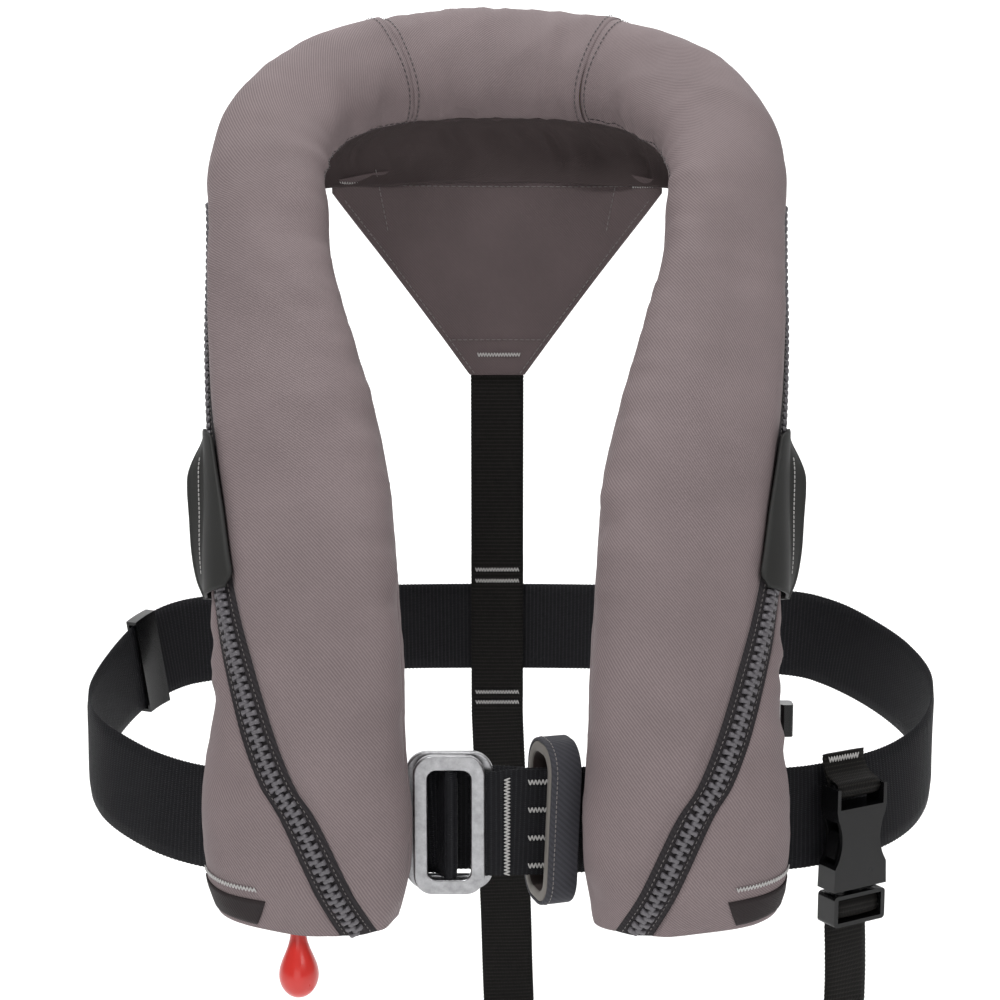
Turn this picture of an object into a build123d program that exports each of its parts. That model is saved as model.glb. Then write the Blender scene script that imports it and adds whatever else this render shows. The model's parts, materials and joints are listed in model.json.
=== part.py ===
from build123d import *
import os
from math import cos, radians, sin

# Inflatable life jacket, millimetres. +X is the wearer's left, -Y the wearer's front and +Z up.
# The origin is the middle of the neck opening, level with the shoulders that carry the jacket.

os.makedirs("parts", exist_ok=True)

# ---------------------------------------------------------------- driving dimensions
CLEARANCE = 0.3            # free gap between pieces
COVER = 1.2                # cover fabric with its lining
SEAM_ANGLE = 8.0           # inner seam, behind the inner edge of a lobe
COLLAR_SEAM_ANGLE = 30.0   # neck side seam of the collar
ZIP_HALF_ANGLE = 10.0      # half of the opening that the zip tape closes
ROUNDNESS = 2.4            # exponent of the rounded cover section
BLADDER_INSET = 5.0        # from the outside of the cover to the folded bladder

BELT_WIDTH = 50.0
STRAP_WIDTH = 30.0         # back strap
LEG_WIDTH = 25.0           # webbing of the release buckle
WEB = 2.0                  # webbing thickness
RING_PLANE = -156.0        # back face of the rear steel ring

# Stations of the horseshoe from the back of the collar down to the hem of the right lobe:
# centre, direction to the neck, width, thickness, angle of the zip around the section.
HALF_STATIONS = [
    ((0, 52, 66), (0, -0.60, -0.80), 62, 44, 180),
    ((-30, 50, 65), (0.20, -0.60, -0.76), 62, 44, 180),
    ((-57, 42, 61), (0.45, -0.50, -0.70), 60, 42, 180),
    ((-80, 27, 54), (0.68, -0.30, -0.60), 58, 40, 180),
    ((-97, 7, 43), (0.85, -0.12, -0.45), 57, 39, 180),
    ((-110, -15, 26), (0.95, -0.10, -0.25), 57, 38, 180),
    ((-115, -36, 4), (0.98, -0.20, 0), 58, 38, 179),
    ((-113, -50, -16), (0.97, -0.24, 0), 59, 38, 178),
    ((-111, -64, -38), (0.97, -0.24, 0), 60, 38, 178),
    ((-106, -83, -67), (0.97, -0.24, 0), 67, 39, 177),
    ((-100, -101, -94), (0.97, -0.24, 0), 74, 40, 175),
    ((-94, -117, -121), (0.97, -0.24, 0), 80, 42, 168),
    ((-90, -131, -147), (0.97, -0.24, 0), 84, 44, 157),
    ((-88, -144, -173), (0.97, -0.24, 0), 86, 46, 145),
    ((-86, -154, -199), (0.97, -0.24, 0), 85, 48, 134),
    ((-84, -163, -224), (0.97, -0.24, 0), 85, 50, 121),
    ((-84, -169, -250), (0.97, -0.24, 0), 87, 52, 105),
    ((-85, -172, -277), (0.97, -0.24, 0), 93, 54, 87),
    ((-85, -172, -305), (0.97, -0.24, 0), 93, 54, 70),
    ((-85, -168, -328), (0.97, -0.24, 0), 84, 48, 48),
]
COLLAR_SEAM = 2            # station of the seam beside the collar
SHOULDER_SEAM = 5          # station of the seam on top of the shoulder
HEM_THICKNESS = 1.5

pieces = {}


def keep(label, part):
    """Name a finished piece and remember it for the export."""
    part.label = label
    pieces[label] = part


# ---------------------------------------------------------------- section and strip helpers
def path_planes(centres, sides):
    """A plane across a path at each of its points, with X along the given side."""
    points = [Vector(*centre) for centre in centres]
    planes = []
    for index, (point, side) in enumerate(zip(points, sides)):
        before = points[max(index - 1, 0)]
        after = points[min(index + 1, len(points) - 1)]
        tangent = (after - before).normalized()
        across = Vector(*side)
        across = across - tangent * across.dot(tangent)
        planes.append(Plane(origin=point, x_dir=across, z_dir=tangent))
    return planes


def placed(stations):
    """Stations of a tube as plane, width, thickness and zip angle."""
    planes = path_planes([station[0] for station in stations], [station[1] for station in stations])
    return [(plane, *station[2:]) for plane, station in zip(planes, stations)]


def between(first, second, share):
    """A station part of the way from one station to the next."""
    centre = Vector(*first[0]) * (1 - share) + Vector(*second[0]) * share
    inward = Vector(*first[1]) * (1 - share) + Vector(*second[1]) * share
    sizes = [a * (1 - share) + b * share for a, b in zip(first[2:], second[2:])]
    return (tuple(centre), tuple(inward), *sizes)


def mirrored(stations):
    """The same stations on the wearer's left, in the opposite order."""
    flipped = []
    for (x, y, z), (u, v, w), width, thickness, zip_angle in reversed(stations):
        flipped.append(((-x, y, z), (-u, v, w), width, thickness, zip_angle))
    return flipped


def keep_mirror(label, source):
    """The same piece on the wearer's left side."""
    with BuildPart() as other_side:
        mirror(source, about=Plane.YZ)
    keep(label, other_side.part)


def rim_points(width, thickness, start, stop, count):
    """Points on a rounded section between two angles."""
    points = []
    for step in range(count):
        angle = radians(start + (stop - start) * step / (count - 1))
        across = abs(cos(angle)) ** (2 / ROUNDNESS)
        out = abs(sin(angle)) ** (2 / ROUNDNESS)
        x = width / 2 * (across if cos(angle) >= 0 else -across)
        y = thickness / 2 * (out if sin(angle) >= 0 else -out)
        points.append((x, y))
    return points


def wall_section(plane, width, thickness, start, stop, depth, wall, count=11):
    """A stretch of the cover wall as a closed sketch on a station plane."""
    outer = rim_points(width - 2 * depth, thickness - 2 * depth, start, stop, count)
    inset = depth + wall
    inner = rim_points(width - 2 * inset, thickness - 2 * inset, start, stop, count)
    with BuildSketch(plane) as section:
        with BuildLine():
            Spline(*outer)
            Line(outer[-1], inner[-1])
            Spline(*reversed(inner))
            Line(inner[0], outer[0])
        make_face()
    return section.sketch


def wall_sections(stations, start, stop, depth=0.0, wall=COVER):
    """Sections of a cover wall. start and stop give its angles for the angle of the zip."""
    return [wall_section(plane, width, thickness, start(zip_at), stop(zip_at), depth, wall)
            for plane, width, thickness, zip_at in stations]


def filled_sections(stations, inset):
    """Sections of a closed body inside the covers."""
    sections = []
    for plane, width, thickness, _ in stations:
        rim = rim_points(width - 2 * inset, thickness - 2 * inset, 0, 345, 24)
        with BuildSketch(plane) as section:
            with BuildLine():
                Spline(*rim, periodic=True)
            make_face()
        sections.append(section.sketch)
    return sections


def strip_sections(stations, thickness=WEB):
    """Sections of flat webbing through stations of centre, direction across it and width."""
    sections = []
    planes = path_planes([station[0] for station in stations], [station[1] for station in stations])
    for plane, station in zip(planes, stations):
        with BuildSketch(plane) as section:
            Rectangle(station[2], thickness)
        sections.append(section.sketch)
    return sections


HORSESHOE = placed(mirrored(HALF_STATIONS[1:]) + HALF_STATIONS)
MIDDLE = len(HALF_STATIONS) - 1
RIGHT_LOBE = HORSESHOE[MIDDLE + SHOULDER_SEAM:]
RIGHT_YOKE = HORSESHOE[MIDDLE + COLLAR_SEAM:MIDDLE + SHOULDER_SEAM + 1]
COLLAR = HORSESHOE[MIDDLE - COLLAR_SEAM:MIDDLE + COLLAR_SEAM + 1]
COLLAR_AND_YOKES = HORSESHOE[MIDDLE - SHOULDER_SEAM:MIDDLE + SHOULDER_SEAM + 1]

# ---------------------------------------------------------------- covers
with BuildPart() as right_front_cover:
    loft(wall_sections(RIGHT_LOBE, lambda at: -SEAM_ANGLE, lambda at: at - ZIP_HALF_ANGLE))
keep("right_front_cover", right_front_cover.part)
keep_mirror("left_front_cover", right_front_cover.part)

with BuildPart() as right_back_cover:
    loft(wall_sections(RIGHT_LOBE, lambda at: at + ZIP_HALF_ANGLE, lambda at: 358 - SEAM_ANGLE))
keep("right_back_cover", right_back_cover.part)
keep_mirror("left_back_cover", right_back_cover.part)

with BuildPart() as right_yoke_cover:
    loft(wall_sections(RIGHT_YOKE, lambda at: -COLLAR_SEAM_ANGLE, lambda at: at - 1))
keep("right_yoke_cover", right_yoke_cover.part)
keep_mirror("left_yoke_cover", right_yoke_cover.part)

with BuildPart() as collar_cover:
    loft(wall_sections(COLLAR, lambda at: -COLLAR_SEAM_ANGLE, lambda at: at - 1))
keep("collar_cover", collar_cover.part)

with BuildPart() as collar_lining:
    loft(wall_sections(COLLAR_AND_YOKES, lambda at: at, lambda at: 359 - COLLAR_SEAM_ANGLE))
keep("collar_lining", collar_lining.part)

# The curtain of lining that hangs from the collar's neck seam to the back panel.
CURTAIN_FEET = [(0, 57, 3), (-30, 56, 3), (-57, 47, 1), (-80, 30, 0), (-93, 14, -2)]
CURTAIN_ANGLE = -40.0
CURTAIN_THICKNESS = 1.5
CURTAIN_OFFSET = 2.6


def curtain_stations():
    """Stations across the lining curtain, from the middle to the wearer's right."""
    stations = []
    for (plane, width, thickness, _), foot in zip(HORSESHOE[MIDDLE:], CURTAIN_FEET):
        rim = rim_points(width + 2 * CURTAIN_OFFSET, thickness + 2 * CURTAIN_OFFSET, CURTAIN_ANGLE, 0, 2)
        x, y = rim[0]
        head_point = plane.from_local_coords(Vector(x, y, 0))
        foot_point = Vector(*foot)
        fall = foot_point - head_point
        stations.append((tuple((head_point + foot_point) * 0.5), tuple(fall), fall.length))
    return stations


def mirrored_strip(stations):
    """Stations of a strip on the wearer's left, in the opposite order."""
    return [((-x, y, z), (-u, v, w), width) for (x, y, z), (u, v, w), width in reversed(stations)]


right_curtain = curtain_stations()
with BuildPart() as neck_curtain:
    loft(strip_sections(mirrored_strip(right_curtain) + right_curtain[1:], CURTAIN_THICKNESS))
keep("neck_curtain", neck_curtain.part)

# The triangular back panel: half outline as x, y at shoulder level, top z and bottom z.
PANEL_RIBS = [(0, 60, 26, -104), (15, 59.8, 26, -104), (35, 58, 26, -76), (60, 49.5, 22, -42), (90, 25, 4, -1)]
PANEL_LEAN = 0.12
PANEL_THICKNESS = 1.5


def panel_rib(x, y, top, bottom):
    """A station of the back panel: one upright line across it."""
    head_point = Vector(-x, y - PANEL_LEAN * top, top)
    foot_point = Vector(-x, y - PANEL_LEAN * bottom, bottom)
    fall = foot_point - head_point
    return tuple((head_point + foot_point) * 0.5), tuple(fall), fall.length


right_ribs = [panel_rib(*rib) for rib in PANEL_RIBS]
with BuildPart() as back_panel:
    loft(strip_sections(mirrored_strip(right_ribs) + right_ribs[1:], PANEL_THICKNESS), ruled=True)
keep("back_panel", back_panel.part)

# ---------------------------------------------------------------- zips, tabs and hems
TAPE_HALF_ANGLE = 9.2
TEETH_HALF_ANGLE = 5.0
TEETH_PROUD = 1.6
TEETH_THICKNESS = 1.4
TAPE_DEPTH = 0.4
TAPE_THICKNESS = 0.8

with BuildPart() as right_zip_tape:
    tape_span = (lambda at: at - TAPE_HALF_ANGLE, lambda at: at + TAPE_HALF_ANGLE)
    loft(wall_sections(RIGHT_LOBE, *tape_span, depth=TAPE_DEPTH, wall=TAPE_THICKNESS))
keep("right_zip_tape", right_zip_tape.part)
keep_mirror("left_zip_tape", right_zip_tape.part)

with BuildPart() as right_zip_teeth:
    teeth_span = (lambda at: at - TEETH_HALF_ANGLE, lambda at: at + TEETH_HALF_ANGLE)
    loft(wall_sections(RIGHT_LOBE, *teeth_span, depth=-TEETH_PROUD, wall=TEETH_THICKNESS))
keep("right_zip_teeth", right_zip_teeth.part)
keep_mirror("left_zip_teeth", right_zip_teeth.part)

# The rubber tab folded over the outer edge, with a fin that stands out of the lobe.
TAB_GAP = 2.2
TAB_WALL = 2.2
TAB_WRAP = (28.0, 30.0)    # how far the fold goes round to the front and to the back
TAB_FIN_REACH = [2.0, 9.0, 8.0, 7.0, 5.0, 1.5]
TAB_FIN_THICKNESS = 3.0
TAB_FIRST = 10             # station above the top of the tab
TAB_STATIONS = placed([
    between(HALF_STATIONS[TAB_FIRST], HALF_STATIONS[TAB_FIRST + 1], 0.65),
    HALF_STATIONS[TAB_FIRST + 1],
    between(HALF_STATIONS[TAB_FIRST + 1], HALF_STATIONS[TAB_FIRST + 2], 0.5),
    HALF_STATIONS[TAB_FIRST + 2],
    HALF_STATIONS[TAB_FIRST + 3],
    between(HALF_STATIONS[TAB_FIRST + 3], HALF_STATIONS[TAB_FIRST + 4], 0.35),
])


def fin_stations():
    """Stations of the tab's fin, along the outer edge of the lobe."""
    stations = []
    for (plane, width, _, _), reach in zip(TAB_STATIONS, TAB_FIN_REACH):
        root = width / 2 + TAB_GAP + TAB_WALL / 2
        centre = plane.from_local_coords(Vector(-root - reach / 2, 0, 0))
        stations.append((tuple(centre), tuple(plane.x_dir), reach))
    return stations


with BuildPart() as right_side_tab:
    tab_span = (lambda at: 180 - TAB_WRAP[0], lambda at: 180 + TAB_WRAP[1])
    loft(wall_sections(TAB_STATIONS, *tab_span, depth=-TAB_GAP - TAB_WALL, wall=TAB_WALL))
    loft(strip_sections(fin_stations(), TAB_FIN_THICKNESS))
keep("right_side_tab", right_side_tab.part)
keep_mirror("left_side_tab", right_side_tab.part)

# ---------------------------------------------------------------- inflator in the right lobe
CORD_X, CORD_Y = -88.4, -184.0
CORD_DIAMETER = 2.2
CORD_TOP = -293.5
CORD_HOLE = 6.0
PULL_TRAVEL = 20.0

HEM_INSET = COVER + 0.8
hem_plane, hem_width, hem_depth, _ = RIGHT_LOBE[-1]
hem_rim = rim_points(hem_width - 2 * HEM_INSET, hem_depth - 2 * HEM_INSET, 0, 345, 24)

with BuildPart() as hem_panels:
    with BuildSketch(hem_plane):
        with BuildLine():
            Spline(*hem_rim, periodic=True)
        make_face()
    extrude(amount=-HEM_THICKNESS)
    mirror(about=Plane.YZ)
    with Locations((CORD_X, CORD_Y, hem_plane.origin.Z)):
        Cylinder(CORD_HOLE / 2, 20, mode=Mode.SUBTRACT)
keep("hem_panels", hem_panels.part)

INFLATOR_TILT = 12.0
tilt = radians(INFLATOR_TILT)
inflator_plane = Plane(origin=(-70, -173, -278), x_dir=(1, 0, 0), z_dir=(0, sin(tilt), cos(tilt)))
BODY_SIZE = (30, 18, 28)
BODY_TOP = -2.0
PIVOT_Z = -33.0
LUG_HALF_WIDTH = 7.0
PIN_DIAMETER = 4.0
CAM_SLOT = 6.0
CAM_ROOM_TOP = -24.9
CHAMBER = (9.0, -23.6, -12.0)     # diameter, floor and roof of the spring chamber
STEM_HOLE = 4.2
NECK_DIAMETER = 12.0
NECK_END = -8.0
CAP_AXIS_Z = -16.0
LEVER_FACE = -BODY_SIZE[1] / 2 - 1.0
LEVER_THICKNESS = 2.3
LEVER_ARM = 26.0
LEVER_REST_ANGLE = 135.0
LEVER_HUB = 6.0

with BuildPart(inflator_plane) as inflator_body:
    with Locations((0, 0, BODY_TOP - BODY_SIZE[2] / 2)):
        Box(*BODY_SIZE)
    with Locations((0, 0, PIVOT_Z)):
        Box(2 * LUG_HALF_WIDTH, BODY_SIZE[1], 2 * LUG_HALF_WIDTH)
    fillet(inflator_body.edges().filter_by(lambda edge: edge.length > BODY_SIZE[1] + 5), 2)
    with Locations((0, 0, (NECK_END + BODY_TOP) / 2)):
        Cylinder(NECK_DIAMETER / 2 + CLEARANCE, BODY_TOP - NECK_END + 0.02, mode=Mode.SUBTRACT)
    with Locations((0, 0, (CHAMBER[1] + CHAMBER[2]) / 2)):
        Cylinder(CHAMBER[0] / 2, CHAMBER[2] - CHAMBER[1], mode=Mode.SUBTRACT)
    with Locations((0, 0, (NECK_END + CAM_ROOM_TOP) / 2)):
        Cylinder(STEM_HOLE / 2, NECK_END - CAM_ROOM_TOP + 1, mode=Mode.SUBTRACT)
    with Locations((0, 0, CAM_ROOM_TOP - 12)):
        Box(18, CAM_SLOT, 24, mode=Mode.SUBTRACT)
    with Locations(Location((0, 0, PIVOT_Z), (90, 0, 0))):
        Cylinder(PIN_DIAMETER / 2 + CLEARANCE, BODY_SIZE[1] + 2, mode=Mode.SUBTRACT)
keep("inflator_body", inflator_body.part)

CAP_RADIUS = 8.0
CAP_LENGTH = 20.0
CAP_AXIS_Y = 3.0
cap_start = Vector(-BODY_SIZE[0] / 2 - CLEARANCE, CAP_AXIS_Y, CAP_AXIS_Z)
cap_plane = Plane(
    origin=inflator_plane.from_local_coords(cap_start),
    x_dir=inflator_plane.z_dir,
    z_dir=(-1, 0, 0),
)
CARTRIDGE_RADIUS = 5.5
with BuildPart(cap_plane) as automatic_cap:
    with Locations((0, 0, CAP_LENGTH / 2)):
        Cylinder(CAP_RADIUS, CAP_LENGTH)
    chamfer(automatic_cap.edges().sort_by(Axis.X)[0], 2)
    with Locations((0, 0, 7)):
        Cylinder(CARTRIDGE_RADIUS + CLEARANCE, 14.02, mode=Mode.SUBTRACT)
    with PolarLocations(CAP_RADIUS, 12):
        with Locations((0, 0, CAP_LENGTH / 2)):
            Cylinder(0.8, CAP_LENGTH + 1, mode=Mode.SUBTRACT)
keep("automatic_cap", automatic_cap.part)

with BuildPart(cap_plane) as water_cartridge:
    with Locations((0, 0, 7)):
        Cylinder(CARTRIDGE_RADIUS, 13)
        Cylinder(1.6, 14, mode=Mode.SUBTRACT)
keep("water_cartridge", water_cartridge.part)

CYLINDER_RADIUS = 17.0
CYLINDER_LENGTH = 115.0
with BuildPart() as gas_cylinder:
    with BuildSketch(Plane.XZ) as cylinder_profile:
        with BuildLine():
            Line((0, NECK_END + CLEARANCE), (NECK_DIAMETER / 2, NECK_END + CLEARANCE))
            Line((NECK_DIAMETER / 2, NECK_END + CLEARANCE), (NECK_DIAMETER / 2, 2))
            Spline((NECK_DIAMETER / 2, 2), (11, 10), (CYLINDER_RADIUS, 24),
                   tangents=[(0, 1), (0, 1)])
            Line((CYLINDER_RADIUS, 24), (CYLINDER_RADIUS, CYLINDER_LENGTH - 12))
            Spline((CYLINDER_RADIUS, CYLINDER_LENGTH - 12), (12, CYLINDER_LENGTH - 3),
                   (0, CYLINDER_LENGTH), tangents=[(0, 1), (-1, 0)])
            Line((0, CYLINDER_LENGTH), (0, NECK_END + CLEARANCE))
        make_face()
    revolve(axis=Axis.Z)
keep("gas_cylinder", inflator_plane.location * gas_cylinder.part)

PIN_FOOT, PIN_TIP = -28.2, -12.6
PIN_COLLAR = (-21.6, 1.4)
with BuildPart(inflator_plane) as firing_pin:
    with Locations((0, 0, (PIN_FOOT + PIN_TIP) / 2)):
        Cylinder(1.8, PIN_TIP - PIN_FOOT)
    chamfer(firing_pin.edges().filter_by(GeomType.CIRCLE).sort_by(Axis.Z)[-1], 1.2)
    with Locations((0, 0, PIN_COLLAR[0] + PIN_COLLAR[1] / 2)):
        Cylinder(4.0, PIN_COLLAR[1])
keep("firing_pin", firing_pin.part)

SPRING_WIRE = 0.35
SPRING_RADIUS = 3.0
SPRING_HEIGHT = 3.2
SPRING_PITCH = 1.0
with BuildPart() as pin_spring:
    with BuildLine():
        coil = Helix(pitch=SPRING_PITCH, height=SPRING_HEIGHT, radius=SPRING_RADIUS)
    with BuildSketch(Plane(origin=coil @ 0, z_dir=coil % 0)):
        Circle(SPRING_WIRE)
    sweep()
spring_seat = Pos(0, 0, PIN_COLLAR[0] + PIN_COLLAR[1] + SPRING_WIRE + 0.1)
keep("pin_spring", inflator_plane.location * spring_seat * pin_spring.part)

tip_x = LEVER_ARM * cos(radians(LEVER_REST_ANGLE))
tip_z = LEVER_ARM * sin(radians(LEVER_REST_ANGLE))
lever_plane = Plane(
    origin=inflator_plane.from_local_coords(Vector(0, LEVER_FACE, PIVOT_Z)),
    x_dir=inflator_plane.x_dir,
    z_dir=-inflator_plane.y_dir,
)
with BuildPart() as firing_lever:
    with BuildSketch(lever_plane):
        Circle(LEVER_HUB)
        with Locations((tip_x, tip_z)):
            Circle(4)
        with Locations(Location((tip_x / 2, tip_z / 2), LEVER_REST_ANGLE)):
            Rectangle(LEVER_ARM, 7)
        Circle(PIN_DIAMETER / 2 + 0.1, mode=Mode.SUBTRACT)
        with Locations((tip_x, tip_z)):
            Circle(1.6, mode=Mode.SUBTRACT)
    extrude(amount=LEVER_THICKNESS)
keep("firing_lever", firing_lever.part)

CAM_RADIUS = 3.6
CAM_OFFSET = 4.0
CAM_REST_ANGLE = 10.0
cam_plane = Plane(
    origin=inflator_plane.from_local_coords(Vector(0, CAM_SLOT / 2 - CLEARANCE, PIVOT_Z)),
    x_dir=inflator_plane.x_dir,
    z_dir=-inflator_plane.y_dir,
)
with BuildPart() as firing_cam:
    with BuildSketch(cam_plane):
        Circle(CAM_RADIUS)
        with Locations(Location((0, 0), CAM_REST_ANGLE)):
            with Locations((CAM_OFFSET, 0)):
                Circle(CAM_RADIUS)
            with Locations((CAM_OFFSET / 2, 0)):
                Rectangle(CAM_OFFSET, 2 * CAM_RADIUS)
        Circle(PIN_DIAMETER / 2 + 0.1, mode=Mode.SUBTRACT)
    extrude(amount=CAM_SLOT - 2 * CLEARANCE)
keep("firing_cam", firing_cam.part)

PIN_HEAD = 1.0
with BuildPart() as lever_pin:
    with BuildSketch(lever_plane.offset(LEVER_THICKNESS + 0.1)):
        Circle(PIN_DIAMETER / 2)
    extrude(amount=-(LEVER_THICKNESS + 0.1 - LEVER_FACE + BODY_SIZE[1] / 2))
    with BuildSketch(lever_plane.offset(LEVER_THICKNESS + 0.1)):
        Circle(PIN_DIAMETER / 2 + PIN_HEAD)
    extrude(amount=PIN_HEAD)
keep("lever_pin", lever_pin.part)

TOGGLE_TOP = -332.5
TOGGLE_LENGTH = 32.0
TOGGLE_RADIUS = 8.8
TOGGLE_NECK = 3.4
toggle_plane = Plane(origin=(CORD_X, CORD_Y, TOGGLE_TOP), x_dir=(1, 0, 0), z_dir=(0, -1, 0))
with BuildPart() as pull_toggle:
    with BuildSketch(toggle_plane):
        with BuildLine():
            Line((0, 0), (TOGGLE_NECK - 1, 0))
            Line((TOGGLE_NECK - 1, 0), (TOGGLE_NECK, -1))
            Spline((TOGGLE_NECK, -1), (TOGGLE_NECK + 2.6, -TOGGLE_LENGTH * 0.36),
                   (TOGGLE_RADIUS, -TOGGLE_LENGTH * 0.72), (0, -TOGGLE_LENGTH),
                   tangents=[(0.05, -1), (-1, 0)])
            Line((0, -TOGGLE_LENGTH), (0, 0))
        make_face()
    revolve(axis=Axis((CORD_X, CORD_Y, 0), (0, 0, 1)))
    with Locations((CORD_X, CORD_Y, TOGGLE_TOP)):
        Cylinder(CORD_DIAMETER / 2 + 0.1, 16, mode=Mode.SUBTRACT)
keep("pull_toggle", pull_toggle.part)

with BuildPart() as pull_cord:
    with BuildSketch(Plane.XY.offset(TOGGLE_TOP - 7.5)):
        with Locations((CORD_X, CORD_Y)):
            Circle(CORD_DIAMETER / 2)
    extrude(amount=CORD_TOP - TOGGLE_TOP + 7.5)
keep("pull_cord", pull_cord.part)

FLANGE_RADIUS = 15.0
with BuildPart() as bladder_manifold:
    with BuildSketch(Plane(
        origin=inflator_plane.from_local_coords(Vector(0, BODY_SIZE[1] / 2 + CLEARANCE, -12)),
        x_dir=inflator_plane.x_dir,
        z_dir=inflator_plane.y_dir,
    )):
        Circle(FLANGE_RADIUS)
    extrude(amount=2)
    fillet(bladder_manifold.edges(), 0.5)
keep("bladder_manifold", bladder_manifold.part)

# ---------------------------------------------------------------- folded bladder and left lobe fittings
BLADDER_LEFT_END = 14      # last station of the bladder in each lobe
BLADDER_RIGHT_END = 12
with BuildPart() as bladder:
    folds = filled_sections(HORSESHOE, BLADDER_INSET)
    loft(folds[MIDDLE - BLADDER_LEFT_END:MIDDLE - SHOULDER_SEAM + 1])
    loft(folds[MIDDLE - SHOULDER_SEAM:MIDDLE + SHOULDER_SEAM + 1])
    loft(folds[MIDDLE + SHOULDER_SEAM:MIDDLE + BLADDER_RIGHT_END + 1])
keep("bladder", bladder.part)

ORAL_X, ORAL_Y = 70.0, -168.0
ORAL_TOP, ORAL_BOTTOM = -222.0, -292.0
ORAL_RADIUS = 6.5
ORAL_BORE = 4.8
with BuildPart(Plane((ORAL_X, ORAL_Y, ORAL_BOTTOM))) as oral_tube:
    Cylinder(ORAL_RADIUS, ORAL_TOP - ORAL_BOTTOM, align=(Align.CENTER, Align.CENTER, Align.MIN))
    Cylinder(ORAL_BORE, ORAL_TOP - ORAL_BOTTOM, align=(Align.CENTER, Align.CENTER, Align.MIN),
             mode=Mode.SUBTRACT)
keep("oral_tube", oral_tube.part)

VALVE_REST = 3.0
with BuildPart(Plane((ORAL_X, ORAL_Y, ORAL_BOTTOM + VALVE_REST))) as oral_valve:
    Cylinder(ORAL_BORE - CLEARANCE, 2, align=(Align.CENTER, Align.CENTER, Align.MIN))
    Cylinder(1.5, 14, align=(Align.CENTER, Align.CENTER, Align.MIN))
keep("oral_valve", oral_valve.part)

CAP_WALL = 1.4
with BuildPart(Plane((ORAL_X, ORAL_Y, ORAL_BOTTOM - CAP_WALL - CLEARANCE))) as oral_tube_cap:
    Cylinder(ORAL_RADIUS + CLEARANCE + CAP_WALL, 9, align=(Align.CENTER, Align.CENTER, Align.MIN))
    with Locations((0, 0, CAP_WALL)):
        Cylinder(ORAL_RADIUS + CLEARANCE, 9, align=(Align.CENTER, Align.CENTER, Align.MIN),
                 mode=Mode.SUBTRACT)
keep("oral_tube_cap", oral_tube_cap.part)

with BuildPart(Plane((99, -162, -282))) as whistle:
    Box(14, 11, 42, align=(Align.CENTER, Align.CENTER, Align.MIN))
    fillet(whistle.edges().filter_by(Axis.Z), 3)
    with Locations((0, 0, 30)):
        Box(10, 12, 3, mode=Mode.SUBTRACT)
keep("whistle", whistle.part)

with BuildPart(Plane((104, -153, -236))) as light_unit:
    Box(18, 15, 26, align=(Align.CENTER, Align.CENTER, Align.MIN))
    fillet(light_unit.edges().filter_by(Axis.Z), 3)
keep("light_unit", light_unit.part)

LENS_HEIGHT = 6.0
with BuildPart(Plane((104, -153, -236 + 26 + CLEARANCE))) as light_lens:
    Cylinder(6, LENS_HEIGHT, align=(Align.CENTER, Align.CENTER, Align.MIN))
    fillet(light_lens.edges().sort_by(Axis.Z)[-1], 3)
keep("light_lens", light_lens.part)

# ---------------------------------------------------------------- waist belt and straps
UP = (0, 0, 1)
SIDEWAYS = (1, 0, 0)


# Middle line of the belt, from the front steel ring round the wearer's right to the rear ring.
BELT_POINTS = [
    (-31.8, -156.6, -291), (-38, -153, -292), (-46, -150.5, -293), (-60, -146, -295),
    (-85, -140, -297), (-110, -135, -299), (-141, -124, -300),
    (-170, -108, -296), (-197, -82, -288), (-210, -45, -282), (-208, 0, -273), (-199, 36, -264),
    (-184, 58, -258), (-163, 71, -256),
    (-120, 77, -253), (-60, 80, -251.5), (0, 80, -251), (60, 80, -251.5), (120, 78, -252.5),
    (167, 75, -254),
    (188, 61, -256), (207, 37, -262), (221, 2, -269), (225, -38, -277), (214, -76, -288),
    (190, -104, -296), (150, -124, -300),
    (110, -135, -299), (85, -140, -297), (60, -146, -294), (45, -151, -293), (28, -156, -292),
    (8.6, -158, -291.5),
]
BELT_RUNS = {
    "waist_belt_right_front": (0, 6),
    "waist_belt_right_side": (6, 13),
    "waist_belt_back": (13, 19),
    "waist_belt_left_side": (19, 26),
    "waist_belt_left_front": (26, 32),
}
belt_sections = strip_sections([(point, UP, BELT_WIDTH) for point in BELT_POINTS])
for label, (first, last) in BELT_RUNS.items():
    with BuildPart() as belt_run:
        loft(belt_sections[first:last + 1])
    keep(label, belt_run.part)

KEEPER_STATIONS = [(-192, 48, -261), (-196.5, 41, -262.7), (-200.2, 33, -264.7)]
with BuildPart() as belt_keeper:
    loft(strip_sections([(point, UP, BELT_WIDTH + 5) for point in KEEPER_STATIONS], 6.5))
    loft(strip_sections([(point, UP, BELT_WIDTH + 1.2) for point in KEEPER_STATIONS], 3.6),
         mode=Mode.SUBTRACT)
keep("belt_keeper", belt_keeper.part)

BACK_STRAP_POINTS = [(0, 75.6, -84), (0, 75.8, -120), (0, 76, -180), (0, 76.3, -222), (0, 76.3, -251),
                     (0, 76.3, -293)]
with BuildPart() as back_strap:
    loft(strip_sections([(point, SIDEWAYS, STRAP_WIDTH) for point in BACK_STRAP_POINTS]))
keep("back_strap", back_strap.part)

BELT_LOOP_POINTS = [(0, 78.6, -208), (0, 78.6, -216), (0, 82.9, -224), (0, 83.1, -251),
                    (0, 82.9, -278), (0, 78.6, -286), (0, 78.6, -293)]
with BuildPart() as back_belt_loop:
    loft(strip_sections([(point, SIDEWAYS, STRAP_WIDTH) for point in BELT_LOOP_POINTS], 1.8), ruled=True)
keep("back_belt_loop", back_belt_loop.part)

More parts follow.
